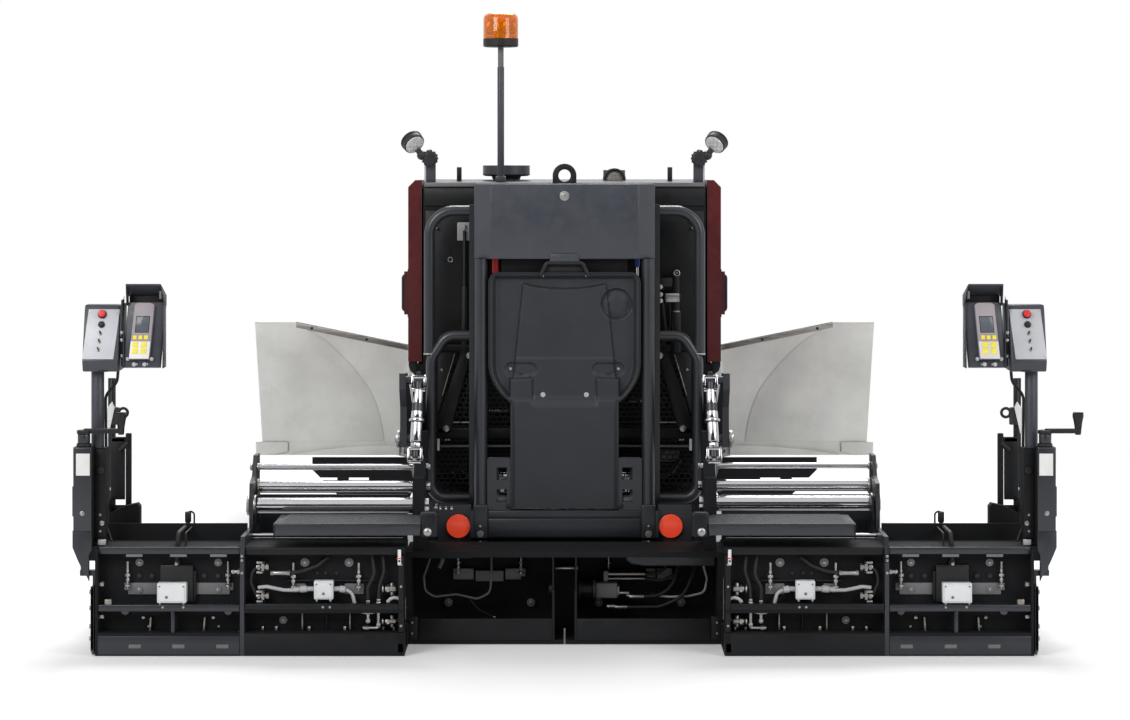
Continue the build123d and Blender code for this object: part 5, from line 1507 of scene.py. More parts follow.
class PAVER_OT_hand_controls(PaverOperator, bpy.types.Operator):
    """Hand control stations: slanted panel box with its switches, hooded screen unit and their post"""
    bl_idname = "paver.hand_controls"
    bl_label = "Hand controls"

    def execute(self, context):
        for name, side in SIDES:
            whole = self.panel_box(name, side)
            self.screen_unit(name, side)
            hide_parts("control_station_" + name)
        return {"FINISHED"}

    def face(self, share, foot, head, proud=0.0):
        """A point's Y and Z up a face that leans away from the operator."""
        y = foot[0] + (head[0] - foot[0]) * share
        z = foot[1] + (head[1] - foot[1]) * share
        run = math.hypot(head[0] - foot[0], head[1] - foot[1])
        return y - (head[1] - foot[1]) / run * proud, z + (head[0] - foot[0]) / run * proud

    def slab(self, side, corners, foot, head, thick, look, width=0.0015, proud=0.0):
        """A plate on a leaning face from (x, share) corners."""
        points = []
        for x, share in corners:
            y, z = self.face(share, foot, head, proud)
            points.append((side * x, y, z))
        y0, z0 = self.face(0, foot, head, 0)
        y1, z1 = self.face(0, foot, head, thick)
        return sheet_piece(points, (0, y1 - y0, z1 - z0), look, width)

    def knob(self, side, x, share, foot, head, radius, tall, look, proud=0.0, sides=32):
        """A round control that stands on a leaning face."""
        y0, z0 = self.face(share, foot, head, proud)
        y1, z1 = self.face(share, foot, head, proud + tall)
        return side_rod(side, x, (y0, y1), (z0, z1), radius, look, min(0.002, tall / 3), sides, 3)

    def panel_box(self, name, side):
        """The slanted box with its switches, its post, bracket and cable."""
        foot, head = (at(0.052), 1.066), (at(0.110), 1.252)
        outline = [(at(0.050), 1.060), (at(0.062), 1.024), (at(0.173), 1.024), (at(0.173), 1.266),
            (at(0.118), 1.266), (at(0.108), 1.254)]
        body = sheet_piece([(side * 1.626, y, z) for y, z in outline], (side * 0.130, 0, 0), "slate", 0.005,
            (), 3)
        pieces = [body]
        panel = self.slab(side, [(1.642, 0.02), (1.756, 0.02), (1.741, 0.985), (1.626, 0.985)], foot, head,
            0.003, "panel", 0.002)
        pieces.append(panel)
        for x, share, radius, tall, look, proud in ((1.690, 0.885, 0.0165, 0.003, "soft_black", 0.003),
                (1.690, 0.885, 0.0060, 0.012, "soft_black", 0.003),
                (1.690, 0.885, 0.0135, 0.007, "red", 0.012), (1.691, 0.685, 0.0125, 0.004, "soft_black",
                0.003)):
            pieces.append(self.knob(side, x, share, foot, head, radius, tall, look, proud))
        pieces.append(self.knob(side, 1.691, 0.685, foot, head, 0.0095, 0.010, "soft_black", 0.006, 20))
        for x, share in ((1.693, 0.505), (1.6955, 0.350), (1.698, 0.190)):
            pieces.append(self.knob(side, x, share, foot, head, 0.0062, 0.0025, "worn", 0.003, 6))
            y0, z0 = self.face(share, foot, head, 0.004)
            y1, z1 = self.face(share + 0.045, foot, head, 0.014)
            pieces.append(side_rod(side, (x, x + 0.002), (y0, y1), (z0, z1), 0.0028, "soft_black", 0.001, 16))
        for x, share in ((1.648, 0.06), (1.749, 0.06), (1.735, 0.945), (1.633, 0.945)):
            pieces.append(self.knob(side, x, share, foot, head, 0.0025, 0.001, "zinc", 0.003, 12))
        post = [side_rod(side, 1.710, at(0.120), (0.390, 1.026), 0.0235, "slate", 0.001, 40),
            side_rod(side, 1.710, at(0.120), (0.388, 0.402), 0.034, "slate", 0.003, 36),
            side_block(side, (1.664, 1.700), (0.058, 0.170), (1.0235, 1.0285), "soft_black", 0.001)]
        bracket = [side_block(side, (1.606, 1.626), (0.098, 0.132), (1.070, 1.150), "slate", 0.003),
            side_block(side, (1.613, 1.620), (0.090, 0.128), (1.040, 1.285), "soft_black", 0.002),
            sheet_piece(side_points(side, (1.622, 0.115, 1.255), (1.611, 0.115, 1.255),
                (1.613, 0.115, 1.300)), (0, 0.004, 0), "slate", 0.0005)]
        for z in (1.080, 1.138, 1.165):
            bracket.append(side_rod(side, 1.6165, (at(0.090), at(0.080)), z, 0.0065, "zinc", 0.001, 6))
        cable = [pipe(side_points(side, (1.64, 0.15, 1.024), (1.645, 0.158, 0.98), (1.688, 0.158, 0.93),
            (1.684, 0.150, 0.70), (1.682, 0.140, 0.45), (1.66, 0.12, 0.40)), 0.0055, "hose", 0.05)]
        return group("panel_box_" + name, "extension_" + name, pieces + post + bracket + cable)

    def screen_unit(self, name, side):
        """The hooded tray beside the box, with the handset that stands in it."""
        foot, head = (at(0.074), 1.040), (at(0.116), 1.275)
        tray = [(1.611, 0.0), (1.476, 0.0), (1.4615, 1.0), (1.598, 1.0)]
        back = self.slab(side, tray, foot, head, -0.034, "slate", 0.003)
        hood = [sheet_piece(side_points(side, (1.600, 0.074, 1.344), (1.474, 0.074, 1.344),
                (1.4615, 0.148, 1.300), (1.600, 0.148, 1.300)), (0, 0.002, -0.006), "slate", 0.001),
            side_block(side, (1.470, 1.598), (0.146, 0.150), (1.200, 1.302), "soft_black", 0.001)]
        for x_foot, x_head in ((1.600, 1.598), (1.4615, 1.472)):
            hood.append(sheet_piece(side_points(side, (x_foot, 0.110, 1.262), (x_foot, 0.148, 1.262),
                (x_foot, 0.148, 1.300), (x_head, 0.074, 1.343), (x_foot, 0.100, 1.272)), (side * 0.003, 0, 0),
                "slate", 0.0008))
        cheeks = []
        for x in (1.6105, 1.4630):
            cheeks.append(sheet_piece(side_points(side, (x, 0.064, 1.036), (x, 0.146, 1.036),
                (x, 0.146, 1.272), (x, 0.104, 1.272)), (side * (0.003 if x > 1.5 else -0.003) * -1, 0, 0),
                "slate", 0.0008))
        device = [self.slab(side, [(1.588, 0.115), (1.513, 0.115), (1.4985, 0.955), (1.513, 0.985),
                (1.560, 0.985), (1.5715, 0.955)], foot, head, 0.020, "device", 0.004),
            self.slab(side, [(1.5865, 0.120), (1.515, 0.120), (1.5095, 0.385), (1.5815, 0.385)], foot, head,
                0.0015, "label", 0.001, 0.0195),
            self.slab(side, [(1.568, 0.520), (1.517, 0.520), (1.5125, 0.775), (1.5635, 0.775)], foot, head,
                0.0010, "soft_black", 0.001, 0.0195),
            self.slab(side, [(1.5655, 0.532), (1.5195, 0.532), (1.515, 0.763), (1.561, 0.763)], foot, head,
                0.0012, "screen", 0.0005, 0.0200)]
        for x in (1.5675, 1.5465, 1.5265):
            device.append(self.slab(side, [(x + 0.007, 0.415), (x - 0.007, 0.415), (x - 0.0075, 0.478),
                (x + 0.0065, 0.478)], foot, head, 0.0028, "yellow", 0.001, 0.0195))
        for x in (1.5645, 1.5335):
            for share in (0.195, 0.293):
                device.append(self.slab(side, [(x + 0.0110, share), (x - 0.0100, share),
                    (x - 0.0110, share + 0.078), (x + 0.0095, share + 0.078)], foot, head, 0.0028, "yellow",
                    0.0012, 0.0205))
        for x in (1.5690, 1.5310):
            y, z = self.face(0.045, foot, head, 0.0)
            device.append(side_rod(side, x, (y, y - 0.014), z, 0.0075, "conduit", 0.0015, 20))
            device.append(side_rod(side, x - 0.010, (y, y - 0.010), z, 0.0045, "zinc", 0.001, 12))
        for x in (1.5925, 1.5055):
            y, z = self.face(0.125, foot, head, 0.004)
            device.append(ball((side * x, y - 0.004, z), 0.0075, "conduit"))
        clip = [side_block(side, (1.4715, 1.479), (0.078, 0.100), (1.288, 1.318), "grey", 0.003)]
        return group("screen_unit_" + name, "extension_" + name, [back] + hood + cheeks + device + clip)


class PAVER_OT_end_gates(PaverOperator, bpy.types.Operator):
    """End gates and their lifting towers, cranks and masts"""
    bl_idname = "paver.end_gates"
    bl_label = "End gates"

    def execute(self, context):
        for name, side in SIDES:
            self.tower(name, side, "extension_" + name)
            self.crank(name, side, "extension_" + name)
            self.edge(name, side, "end_gate_" + name)
            self.mast(name, side, "end_gate_" + name)
        return {"FINISHED"}

    def tower(self, name, side, body):
        """The lifting tower's outer plates, and the holder of the hand control's post."""
        tower = [side_block(side, (1.7165, 1.7825), (0.022, 0.034), (0.447, 0.752), "frame", 0.004, 3),
            sheet_piece(side_points(side, (1.7165, 0.026, 0.450), (1.7865, 0.026, 0.450),
                (1.7865, 0.026, 0.388), (1.766, 0.026, 0.339), (1.748, 0.026, 0.303), (1.734, 0.026, 0.282),
                (1.727, 0.026, 0.268), (1.7265, 0.026, 0.360), (1.7165, 0.026, 0.380)), (0, 0.004, 0),
                "frame", 0.001),
            side_block(side, (1.7225, 1.7725), (0.0205, 0.0225), (0.650, 0.730), "label", 0.001),
            side_block(side, (1.780, 1.7880), (0.030, 0.080), (0.500, 0.610), "frame", 0.002),
            side_rod(side, (1.7880, 1.7910), at(0.055), 0.590, 0.007, "soft_black", 0.001)]
        tower += bolt((side * 1.750, at(0.022), 0.513), REARWARD, 0.006)
        holder = [side_block(side, (1.676, 1.7155), (0.086, 0.090), (0.400, 0.738), "black", 0.001),
            side_rod(side, 1.6935, (at(0.086), at(0.078)), 0.662, 0.014, "soft_black", 0.003),
            side_rod(side, 1.688, (at(0.086), at(0.076)), 0.470, 0.010, "zinc", 0.001, 6)]
        for z in (0.500, 0.440):
            holder.append(stud((side * 1.696, at(0.086), z), REARWARD, 0.005, "zinc"))
        holder.append(side_block(side, (1.672, 1.700), (0.060, 0.080), (0.392, 0.412), "conduit", 0.003))
        group("post_holder_" + name, body, holder)
        group("gate_tower_" + name, body, tower)

    def crank(self, name, side, body):
        """The cap on the tower, with the crank and its grip."""
        middle = side * 1.750
        cap = [rod((middle, at(0.060), 0.748), (middle, at(0.060), 0.764), 0.027, "soft_black", 0.003),
            rod((middle, at(0.060), 0.764), (middle, at(0.060), 0.798), 0.0225, "frame", 0.003),
            rod((middle, at(0.060), 0.798), (middle, at(0.060), 0.812), 0.026, "soft_black", 0.003)]
        grip = middle + (0.135 if name == "left" else 0.120)
        crank = [block((middle, grip + 0.008), (at(0.051), at(0.069)), (0.800, 0.8175), "soft_black", 0.003),
            spun([(0.0, 0.0), (0.0095, 0.0), (0.0115, 0.006), (0.0125, 0.025), (0.0160, 0.048),
                (0.0200, 0.066), (0.0200, 0.076), (0.0150, 0.081), (0.0, 0.0815)], (grip, at(0.060), 0.795),
                "soft_black")]
        group("gate_crank_" + name, body, cap + crank)

    def edge(self, name, side, gate):
        """Rear edge and screws of the gate's plate."""
        plate = [side_block(side, (1.7045, 1.7165), (0.0, 0.006), (0.020, 0.250), "frame", 0.002)]
        for z in (0.228, 0.104, 0.060, 0.170):
            plate.append(side_rod(side, (1.7165, 1.7235), at(0.020), z, 0.009, "zinc", 0.0015, 6))
            plate.append(side_rod(side, (1.7165, 1.7235), at(0.160), z, 0.009, "zinc", 0.0015, 6))
        plate.append(side_rod(side, (1.7060, 1.7160), at(0.835), 0.225, 0.016, "frame", 0.003))
        group("gate_edge_" + name, gate, plate)

    def mast(self, name, side, gate):
        """The gate's upright, with its bracket, eye and scale."""
        mast = [side_block(side, (1.700, 1.708), (0.390, 0.396), (0.300, 0.970), "frame", 0.002)]
        for z in (0.42, 0.56):
            mast.append(side_rod(side, 1.704, (at(0.396), at(0.388)), z, 0.008, "zinc", 0.0015, 6))
        mast += [side_block(side, (1.672, 1.7185), (0.380, 0.396), (0.801, 0.868), "frame", 0.006, 3),
            ring((side * 1.659, at(0.386), 0.847), (0, 1, 0), 0.0165, 0.0055, "soft_black"),
            side_rod(side, (1.672, 1.640), at(0.386), (0.705, 0.735), 0.010, "soft_black", 0.002),
            side_block(side, (1.652, 1.706), (0.384, 0.390), (0.520, 0.754), "black", 0.004),
            side_block(side, (1.628, 1.650), (0.380, 0.396), (0.440, 0.770), "black", 0.004, 3),
            side_block(side, (1.636, 1.704), (0.384, 0.392), (0.736, 0.756), "black", 0.003),
            side_block(side, (1.628, 1.716), (0.388, 0.394), (0.470, 0.500), "black", 0.003),
            sheet_piece(side_points(side, (1.712, 0.378, 0.770), (1.690, 0.378, 0.868), (1.700, 0.378, 0.890),
                (1.716, 0.378, 0.868), (1.7175, 0.378, 0.770)), (0, 0.002, 0), "label", 0.0005)]
        group("gate_mast_" + name, gate, mast)


class PAVER_OT_hopper(PaverOperator, bpy.types.Operator):
    """Hopper: overlay plates, folded rims, edge strips, feet and the rubber flaps of its front"""
    bl_idname = "paver.hopper"
    bl_label = "Hopper"

    def execute(self, context):
        for name, side in SIDES:
            self.wing(name, side)
        self.middle()
        return {"FINISHED"}

    def wing(self, name, side):
        """What one wing carries: overlay, rim, foot and the ribs of its outer wall."""
        body = "hopper_wing_" + name
        rear = at(2.405)
        arc = [(1.088, 1.004), (1.050, 0.975), (1.005, 0.932), (0.959, 0.885), (0.912, 0.828), (0.873, 0.771),
            (0.848, 0.716), (0.830, 0.660), (0.818, 0.602), (0.810, 0.545)]
        outline = [(1.352, 0.545), (1.386, 1.060), (1.384, 1.072), (1.200, 1.072)] + arc
        overlay = sheet_piece([(side * x, rear - 0.0030, z) for x, z in outline], (0, 0.0030, 0), "hopper",
            0.0010)
        pieces = [overlay]
        for x, z in ((1.072, 0.966), (0.958, 0.872), (0.872, 0.752), (0.822, 0.560), (1.360, 1.050),
                (1.100, 0.900), (1.340, 0.800)):
            pieces.append(side_rod(side, x, (rear - 0.0010, rear - 0.0034), z, 0.0042, "hopper", 0.0008, 16))
        group("wing_overlay_" + name, body, pieces)
        rim = sheet_piece(in_plane(side, rear - 0.0032, (1.205, 1.078), (0.703, 0.976), (0.703, 0.952),
            (1.205, 1.054)), (0, 0.0032, 0), "worn", 0.001, (), 3)
        lip = sheet_piece(in_plane(side, rear - 0.002, (1.205, 1.0795), (0.703, 0.9775), (0.703, 0.971),
            (1.205, 1.073)), (0, 0.020, 0), "soft_black", 0.001)
        edge = [rim, lip]
        for share in (0.14, 0.63):
            middle = (side * (1.205 - 0.502 * share), rear, 1.065 - 0.102 * share)
            edge.append(rod(middle, (middle[0], rear - 0.0034, middle[2]), 0.0065, "soft_black", 0.0008, 24))
        group("wing_rim_" + name, body, edge)
        bottom = [(1.236, 0.484), (1.160, 0.496), (1.080, 0.508), (1.000, 0.517), (0.920, 0.523),
            (0.840, 0.526), (0.740, 0.527), (0.740, 0.484)]
        flange = [sheet_piece([(side * x, rear - 0.024, z) for x, z in bottom], (0, 0.022, 0), "hopper",
                0.003, (), 3),
            sheet_piece([(side * x, rear - 0.010, z) for x, z in ((1.339, 0.483), (1.368, 0.484),
                (1.384, 0.496), (1.386, 0.538), (1.351, 0.541), (1.240, 0.541), (1.240, 0.497),
                (1.300, 0.486))], (0, 0.010, 0), "hopper", 0.004, (), 3)]
        group("wing_foot_" + name, body, flange)
        outer = []
        for station in (2.62, 3.10, 3.58, 4.06, 4.40):
            rib_top = 1.064 - 0.0559 * (station - 2.385)
            lean = 1.3565 + 0.033 * (rib_top - 0.500) / 0.562
            outer.append(sheet_piece(side_points(side, (1.3565, station, 0.500), (lean, station, rib_top),
                (lean, station + 0.03, rib_top), (1.3565, station + 0.03, 0.500)), (side * 0.004, 0, 0),
                "hopper", 0.0015))
        outer.append(side_rod(side, (1.384, 1.377), (at(2.420), at(4.525)), (1.0715, 0.9545), 0.0085,
            "hopper", 0.002))
        outer.append(side_rod(side, 0.705, (at(2.45), at(4.50)), 0.522, 0.004, "worn", 0.001))
        group("wing_stiffeners_" + name, body, outer)

    def middle(self):
        """The rubber flap on the front apron, and the bulkhead's rim and bolts."""
        y = box("front_apron")[0].y
        flap = [block((-0.585, 0.585), (y - 0.012, y - 0.002), (0.520, 0.640), "rubber", 0.003)]
        for x in (-0.52, -0.26, 0.0, 0.26, 0.52):
            flap += bolt((x, y - 0.012, 0.625), REARWARD, 0.009)
        group("apron_flap", "front_apron", flap)
        edge = [rod((-0.515, at(2.393), 1.008), (0.515, at(2.393), 1.008), 0.0075, "hopper", 0.002)]
        for x in (-0.16, 0.16):
            edge += bolt((x, at(2.400), 0.940), (0, 1, 0), 0.009)
        group("bulkhead_rim", "tractor", edge)


class PAVER_OT_running_gear(PaverOperator, bpy.types.Operator):
    """Hubs of the sprocket and idler, roller hubs and the track guides"""
    bl_idname = "paver.running_gear"
    bl_label = "Running gear"

    def execute(self, context):
        for name, side in SIDES:
            outer = side * 0.537
            parts = []
            for station in (1.335, 3.110):
                y = at(station)
                parts.append(rod((outer, y, 0.240), (outer + side * 0.010, y, 0.240), 0.150, "slate", 0.006,
                    56, 3))
                parts.append(rod((outer, y, 0.240), (outer + side * 0.022, y, 0.240), 0.070, "slate", 0.006,
                    40, 3))
                parts.append(rod((outer, y, 0.240), (outer + side * 0.030, y, 0.240), 0.038, "worn", 0.006,
                    32, 3))
                for step in range(8):
                    turn = math.tau * step / 8
                    place = (outer + side * 0.010, y + 0.108 * math.cos(turn), 0.240 + 0.108 * math.sin(turn))
                    parts += bolt(place, (side, 0, 0), 0.010)
            group("wheel_hubs_" + name, "tractor", parts)
            hubs = []
            rollers = 5
            wheel = 0.1896
            first, last = 1.335 + wheel + 0.086, 3.110 - wheel - 0.086
            for step in range(rollers):
                y = at(first + (last - first) * step / (rollers - 1))
                hubs.append(rod((outer, y, 0.1165), (outer + side * 0.008, y, 0.1165), 0.050, "slate", 0.005,
                    36, 3))
                hubs.append(rod((outer, y, 0.1165), (outer + side * 0.016, y, 0.1165), 0.022, "worn", 0.004,
                    24, 3))
            hubs.append(side_block(side, (0.486, 0.500), (1.62, 2.82), (0.255, 0.325), "slate", 0.006, 3))
            for station in (1.70, 2.22, 2.74):
                hubs += bolt((side * 0.500, at(station), 0.290), (side, 0, 0), 0.012)
            group("track_rollers_" + name, "tractor", hubs)
        return {"FINISHED"}


class PAVER_OT_augers(PaverOperator, bpy.types.Operator):
    """Auger screws with helical flights, and the bolted flanges at their inner ends"""
    bl_idname = "paver.augers"
    bl_label = "Augers"

    def execute(self, context):
        for name, side in SIDES:
            low, high = box("auger_" + name)
            inner, outer = min(abs(low.x), abs(high.x)), max(abs(low.x), abs(high.x))
            flight = self.flight(side, inner + 0.045, outer - 0.050)
            start, flange = (side * inner, AUGER_Y, AUGER_Z), side * (inner + 0.040)
            shaft = [rod(start, (side * (outer - 0.001), AUGER_Y, AUGER_Z), 0.032, "worn", 0.003, 40),
                rod(start, (flange, AUGER_Y, AUGER_Z), 0.052, "worn", 0.004, 40)]
            for step in range(6):
                turn = math.tau * step / 6
                place = (flange, AUGER_Y + 0.042 * math.cos(turn), AUGER_Z + 0.042 * math.sin(turn))
                shaft += bolt(place, (side, 0, 0), 0.006)
            whole = group("auger_screw_" + name, "auger_" + name, [flight] + shaft)
            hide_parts("auger_" + name)
        return {"FINISHED"}

    def flight(self, side, start, end):
        """A helical blade swept round the shaft and thickened."""
        radius, core, pitch, steps = 0.1295, 0.030, 0.240, 40
        deselect()
        bpy.ops.mesh.primitive_plane_add(size=1)
        strip = bpy.context.object
        pick(strip)
        bpy.ops.object.mode_set(mode="EDIT")
        bpy.ops.mesh.delete(type="ONLY_FACE")
        bpy.ops.mesh.select_all(action="SELECT")
        bpy.ops.mesh.delete(type="VERT")
        bpy.ops.object.mode_set(mode="OBJECT")
        turns = (end - start) / pitch
        count = int(turns * steps)
        points, faces = [], []
        for step in range(count + 1):
            turn = math.tau * step / steps
            x = side * (start + pitch * step / steps)
            for reach in (core, 0.080, radius):
                points.append((x, AUGER_Y + reach * math.cos(turn), AUGER_Z + side * reach * math.sin(turn)))
        for step in range(count):
            first = step * 3
            faces.append((first, first + 1, first + 4, first + 3))
            faces.append((first + 1, first + 2, first + 5, first + 4))
        strip.data.from_pydata(points, [], faces)
        wall = strip.modifiers.new("wall", "SOLIDIFY")
        wall.thickness = 0.010
        wall.offset = 0
        apply_all(strip)
        edit(strip)
        close_outward()
        return placed(bevelled(strip, 0.002, 2, 50.0), "worn", 50.0)


class PAVER_OT_push_rollers(PaverOperator, bpy.types.Operator):
    """Push rollers with their end caps, and the bolts of the push beam"""
    bl_idname = "paver.push_rollers"
    bl_label = "Push rollers"

    def execute(self, context):
        for name, side in SIDES:
            low, high = box("push_roller_" + name)
            y, z = (low.y + high.y) / 2, (low.z + high.z) / 2
            rings = []
            for x, way in ((low.x, -1), (high.x, 1)):
                rings.append(rod((x - way * 0.012, y, z), (x + way * 0.001, y, z), 0.062, "slate", 0.004, 48,
                    3))
                rings.append(rod((x - way * 0.002, y, z), (x + way * 0.004, y, z), 0.034, "zinc", 0.002, 32))
            for share in (0.15, 0.85):
                x = low.x + (high.x - low.x) * share
                rings.append(ring((x, y, z), (1, 0, 0), 0.0738, 0.0016, "worn"))
            group("push_roller_ends_" + name, "push_roller_" + name, rings)
        beam = []
        for x in (-0.48, -0.36, 0.36, 0.48):
            beam += bolt((x, at(4.562), 0.395), (0, 1, 0), 0.012)
        for side in (-1, 1):
            beam.append(ring((side * 0.30, at(4.580), 0.350), (1, 0, 0), 0.030, 0.009, "slate"))
            beam.append(side_rod(side, 0.30, (at(4.562), at(4.572)), 0.350, 0.022, "slate", 0.003))
        group("push_beam_fittings", "tractor", beam)
        return {"FINISHED"}


class PAVER_OT_side_doors(PaverOperator, bpy.types.Operator):
    """Side doors: chamfered skins, vents, the seam beside them and the tapering skirt below"""
    bl_idname = "paver.side_doors"
    bl_label = "Side doors"

    def execute(self, context):
        for name, side in SIDES:
            outer = side * 0.6205
            panel = [block(tuple(sorted((outer, outer + side * -0.004))), (at(1.02), at(2.26)), (1.08, 1.60),
                "maroon", 0.003)]
            vents = []
            for row in range(9):
                z = 1.34 + 0.022 * row
                vents.append(block(tuple(sorted((outer - side * 0.004, outer + side * 0.0006))),
                    (at(1.42), at(1.98)), (z, z + 0.009), "soft_black", 0.002))
            group("door_vents_" + name, "side_door_" + name, vents)
            group("door_skin_" + name, "side_door_" + name, panel)
            seam = [side_block(side, (0.5655, 0.5672), (0.9485, 0.954), (1.005, 1.712), "soft_black", 0.0004)]
            group("door_seam_" + name, "tractor", seam)
            skirt = [sheet_piece(side_points(side, (0.585, 0.957, 0.998), (0.6195, 0.957, 0.998),
                (0.6195, 0.957, 0.985), (0.612, 0.957, 0.962), (0.597, 0.957, 0.952), (0.595, 0.957, 0.840),
                (0.585, 0.957, 0.840)), (0, 0.030, 0), "black", 0.002)]
            group("skirt_corner_" + name, "tractor", skirt)
        return {"FINISHED"}


class PAVER_OT_handrails(PaverOperator, bpy.types.Operator):
    """A zinc ring at a joint of each handrail"""
    bl_idname = "paver.handrails"
    bl_label = "Handrails"

    def execute(self, context):
        for name, side in SIDES:
            y = at(0.800)
            marks = [ring((side * 0.528, y, 1.041), (0, 0, 1), 0.0195, 0.004, "zinc")]
            group("rail_joint_" + name, "tractor", marks)
        return {"FINISHED"}


class PAVER_OT_stage(PaverOperator, bpy.types.Operator):
    """Floor, soft light and camera"""
    bl_idname = "paver.stage"
    bl_label = "Stage"

    def execute(self, context):
        scene = context.scene
        deselect()
        bpy.ops.mesh.primitive_plane_add(size=60, location=(0, 10, -0.002))
        floor = context.object
        floor.name = "floor"
        floor.data.materials.append(self.floor_material())
        self.lamp("key", (-4.6, -7.8, 5.0), (0, -1.0, 0.7), 3.5, 330)
        self.lamp("fill", (5.6, -7.0, 4.0), (0, -1.0, 0.8), 3.5, 200)
        self.lamp("top", (0.3, 2.6, 7.2), (0, -1.0, 0.2), 4.0, 620)
        self.card()
        scene.world = self.world()
        scene.camera = self.camera()
        scene.view_settings.view_transform = "Standard"
        return {"FINISHED"}

    def world(self):
        """A white surround, dimmer as a light than it is to look at."""
        world = bpy.data.worlds.new("studio")
        world.use_nodes = True
        tree = world.node_tree
        background = tree.nodes["Background"]
        scale = tree.nodes.new("ShaderNodeMapRange")
        scale.inputs["To Min"].default_value = 0.42
        scale.inputs["To Max"].default_value = 1.0
        tree.links.new(self.looked_at(tree), scale.inputs["Value"])
        tree.links.new(scale.outputs[0], background.inputs["Strength"])
        background.inputs["Color"].default_value = (1.0, 1.0, 1.0, 1)
        return world

    def looked_at(self, tree):
        """One for rays from the camera, off shiny faces and through clear ones, and nought for the rest."""
        path = tree.nodes.new("ShaderNodeLightPath")
        most = path.outputs["Is Camera Ray"]
        for kind in ("Is Glossy Ray", "Is Transmission Ray"):
            step = tree.nodes.new("ShaderNodeMath")
            step.operation = "MAXIMUM"
            tree.links.new(most, step.inputs[0])
            tree.links.new(path.outputs[kind], step.inputs[1])
            most = step.outputs[0]
        return most

    def camera(self):
        """A level camera straight behind the machine, its view moved down by the lens shift."""
        distance = 10.0  # from the camera to the rear of the screed extensions
        view_width = 4.0906  # what it sees from side to side there
        height = 1.748
        deselect()
        bpy.ops.object.camera_add(location=(CENTRE, REAR - distance, height),
            rotation=(math.radians(90), 0, 0))
        camera = bpy.context.object
        camera.data.sensor_width = 36.0
        camera.data.lens = camera.data.sensor_width * distance / view_width
        camera.data.shift_x = 0.00039823
        camera.data.shift_y = -0.16548673
        camera.data.clip_end = 200.0
        return camera

    def lamp(self, name, place, aim, size, power):
        """A large soft lamp that looks at a point."""
        data = bpy.data.lights.new(name, "AREA")
        data.shape = "SQUARE"
        data.size = size
        data.energy = power
        lamp = bpy.data.objects.new(name, data)
        lamp.location = place
        lamp.rotation_euler = (Vector(aim) - Vector(place)).to_track_quat("-Z", "Y").to_euler()
        bpy.context.scene.collection.objects.link(lamp)

    def card(self):
        """A dark upright card far behind the operator, seen only in what shines."""
        deselect()
        bpy.ops.mesh.primitive_plane_add(size=1, location=(0, -15.0, 3.2), rotation=(math.radians(90), 0, 0))
        card = bpy.context.object
        card.name = "dark_card"
        card.scale = (26.0, 6.6, 1.0)
        bpy.ops.object.transform_apply(location=True, rotation=True, scale=True)
        made, _, shader, _ = new_material("dark_card")
        shader.inputs["Base Color"].default_value = (0.03, 0.03, 0.03, 1)
        shader.inputs["Roughness"].default_value = 0.9
        shader.inputs["Specular IOR Level"].default_value = 0.0
        card.data.materials.append(made)
        card.visible_camera = False
        card.visible_diffuse = False
        card.visible_transmission = False
        card.visible_shadow = False

    def floor_material(self):
        """A pale floor that turns to plain white away from the machine and keeps its shadow."""
        made, tree, shader, place = new_material("floor_white")
        shader.inputs["Base Color"].default_value = (0.90, 0.90, 0.91, 1)
        shader.inputs["Roughness"].default_value = 0.60
        shader.inputs["Specular IOR Level"].default_value = 0.1
        gap = tree.nodes.new("ShaderNodeVectorMath")
        gap.operation = "DISTANCE"
        gap.inputs[1].default_value = (0.0, -10.0, 0.0)
        tree.links.new(place, gap.inputs[0])
        far = spread(tree, gap.outputs["Value"], 0.12, 1.0, 2.6, 6.0)
        white = tree.nodes.new("ShaderNodeEmission")
        mixed = tree.nodes.new("ShaderNodeMixShader")
        tree.links.new(far, mixed.inputs["Fac"])
        tree.links.new(shader.outputs["BSDF"], mixed.inputs[1])
        tree.links.new(white.outputs["Emission"], mixed.inputs[2])
        last = tree.nodes.new("ShaderNodeMixShader")
        tree.links.new(self.looked_at(tree), last.inputs["Fac"])
        tree.links.new(shader.outputs["BSDF"], last.inputs[1])
        tree.links.new(mixed.outputs["Shader"], last.inputs[2])
        tree.links.new(last.outputs["Shader"], tree.nodes["Material Output"].inputs["Surface"])
        return made


# ------------------------------------------------------------------ panel and run
class PAVER_PT_builder(bpy.types.Panel):
    """Lists the settings and the pieces"""
    bl_idname = "PAVER_PT_builder"
    bl_label = "Asphalt paver"
    bl_space_type = "VIEW_3D"
    bl_region_type = "UI"
    bl_category = "Paver"

    def draw(self, context):
        settings = self.layout.column()
        for name in PaverSizes.__annotations__:
            settings.prop(context.scene.paver_sizes, name)
        for name in PaverColours.__annotations__:
            settings.prop(context.scene.paver_colours, name)
        steps = self.layout.column()
        for step in STEPS:
            steps.operator(step.bl_idname)


STEPS = (PAVER_OT_stage, PAVER_OT_finishes, PAVER_OT_hood, PAVER_OT_side_doors, PAVER_OT_beacon,
    PAVER_OT_work_lamps, PAVER_OT_console, PAVER_OT_moulded_cover, PAVER_OT_posts, PAVER_OT_handrails,
    PAVER_OT_rear_guard, PAVER_OT_spindles, PAVER_OT_steps, PAVER_OT_main_screed, PAVER_OT_extensions,
    PAVER_OT_bolt_ons, PAVER_OT_hand_controls, PAVER_OT_end_gates, PAVER_OT_hopper, PAVER_OT_running_gear,
    PAVER_OT_augers, PAVER_OT_push_rollers)
CLASSES = (PaverSizes, PaverColours) + STEPS + (PAVER_PT_builder,)


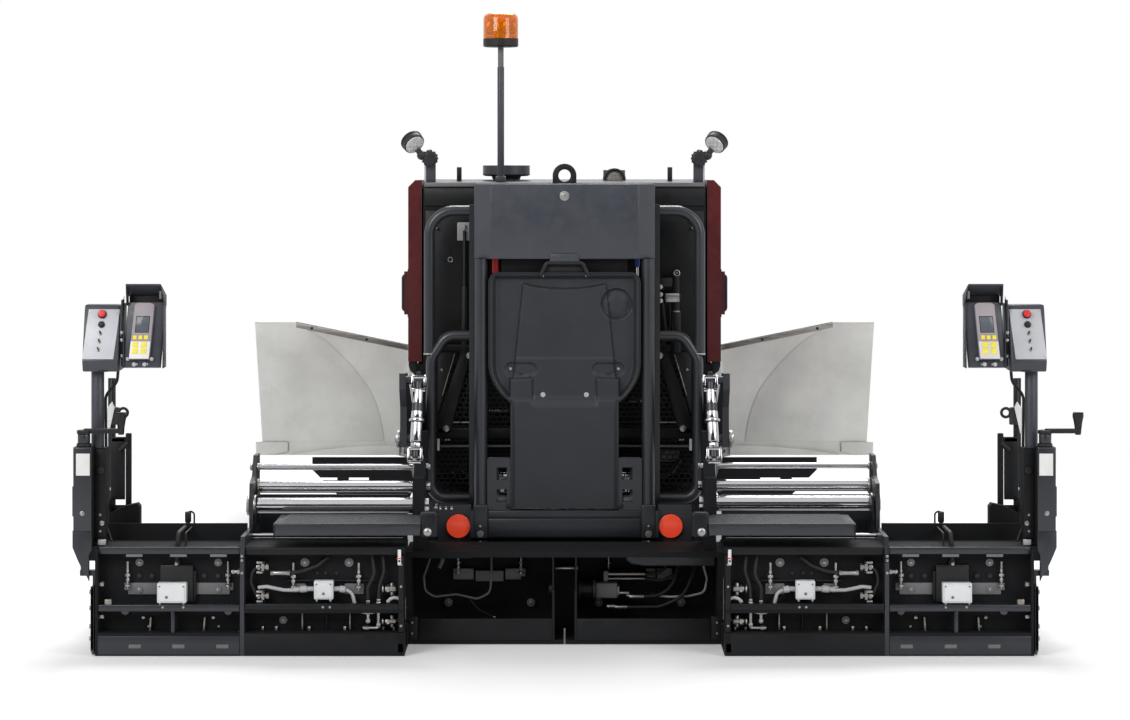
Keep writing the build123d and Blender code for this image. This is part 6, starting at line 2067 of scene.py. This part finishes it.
def register():
    """Add the settings, the operators and the panel."""
    for each in CLASSES:
        bpy.utils.register_class(each)
    bpy.types.Scene.paver_sizes = bpy.props.PointerProperty(type=PaverSizes)
    bpy.types.Scene.paver_colours = bpy.props.PointerProperty(type=PaverColours)


def unregister():
    """Take away what register added."""
    del bpy.types.Scene.paver_colours
    del bpy.types.Scene.paver_sizes
    for each in reversed(CLASSES):
        bpy.utils.unregister_class(each)


def main():
    """Run every operator in order."""
    register()
    for step in STEPS:
        group_name, call = step.bl_idname.split(".")
        getattr(getattr(bpy.ops, group_name), call)()


if __name__ == "__main__":
    main()
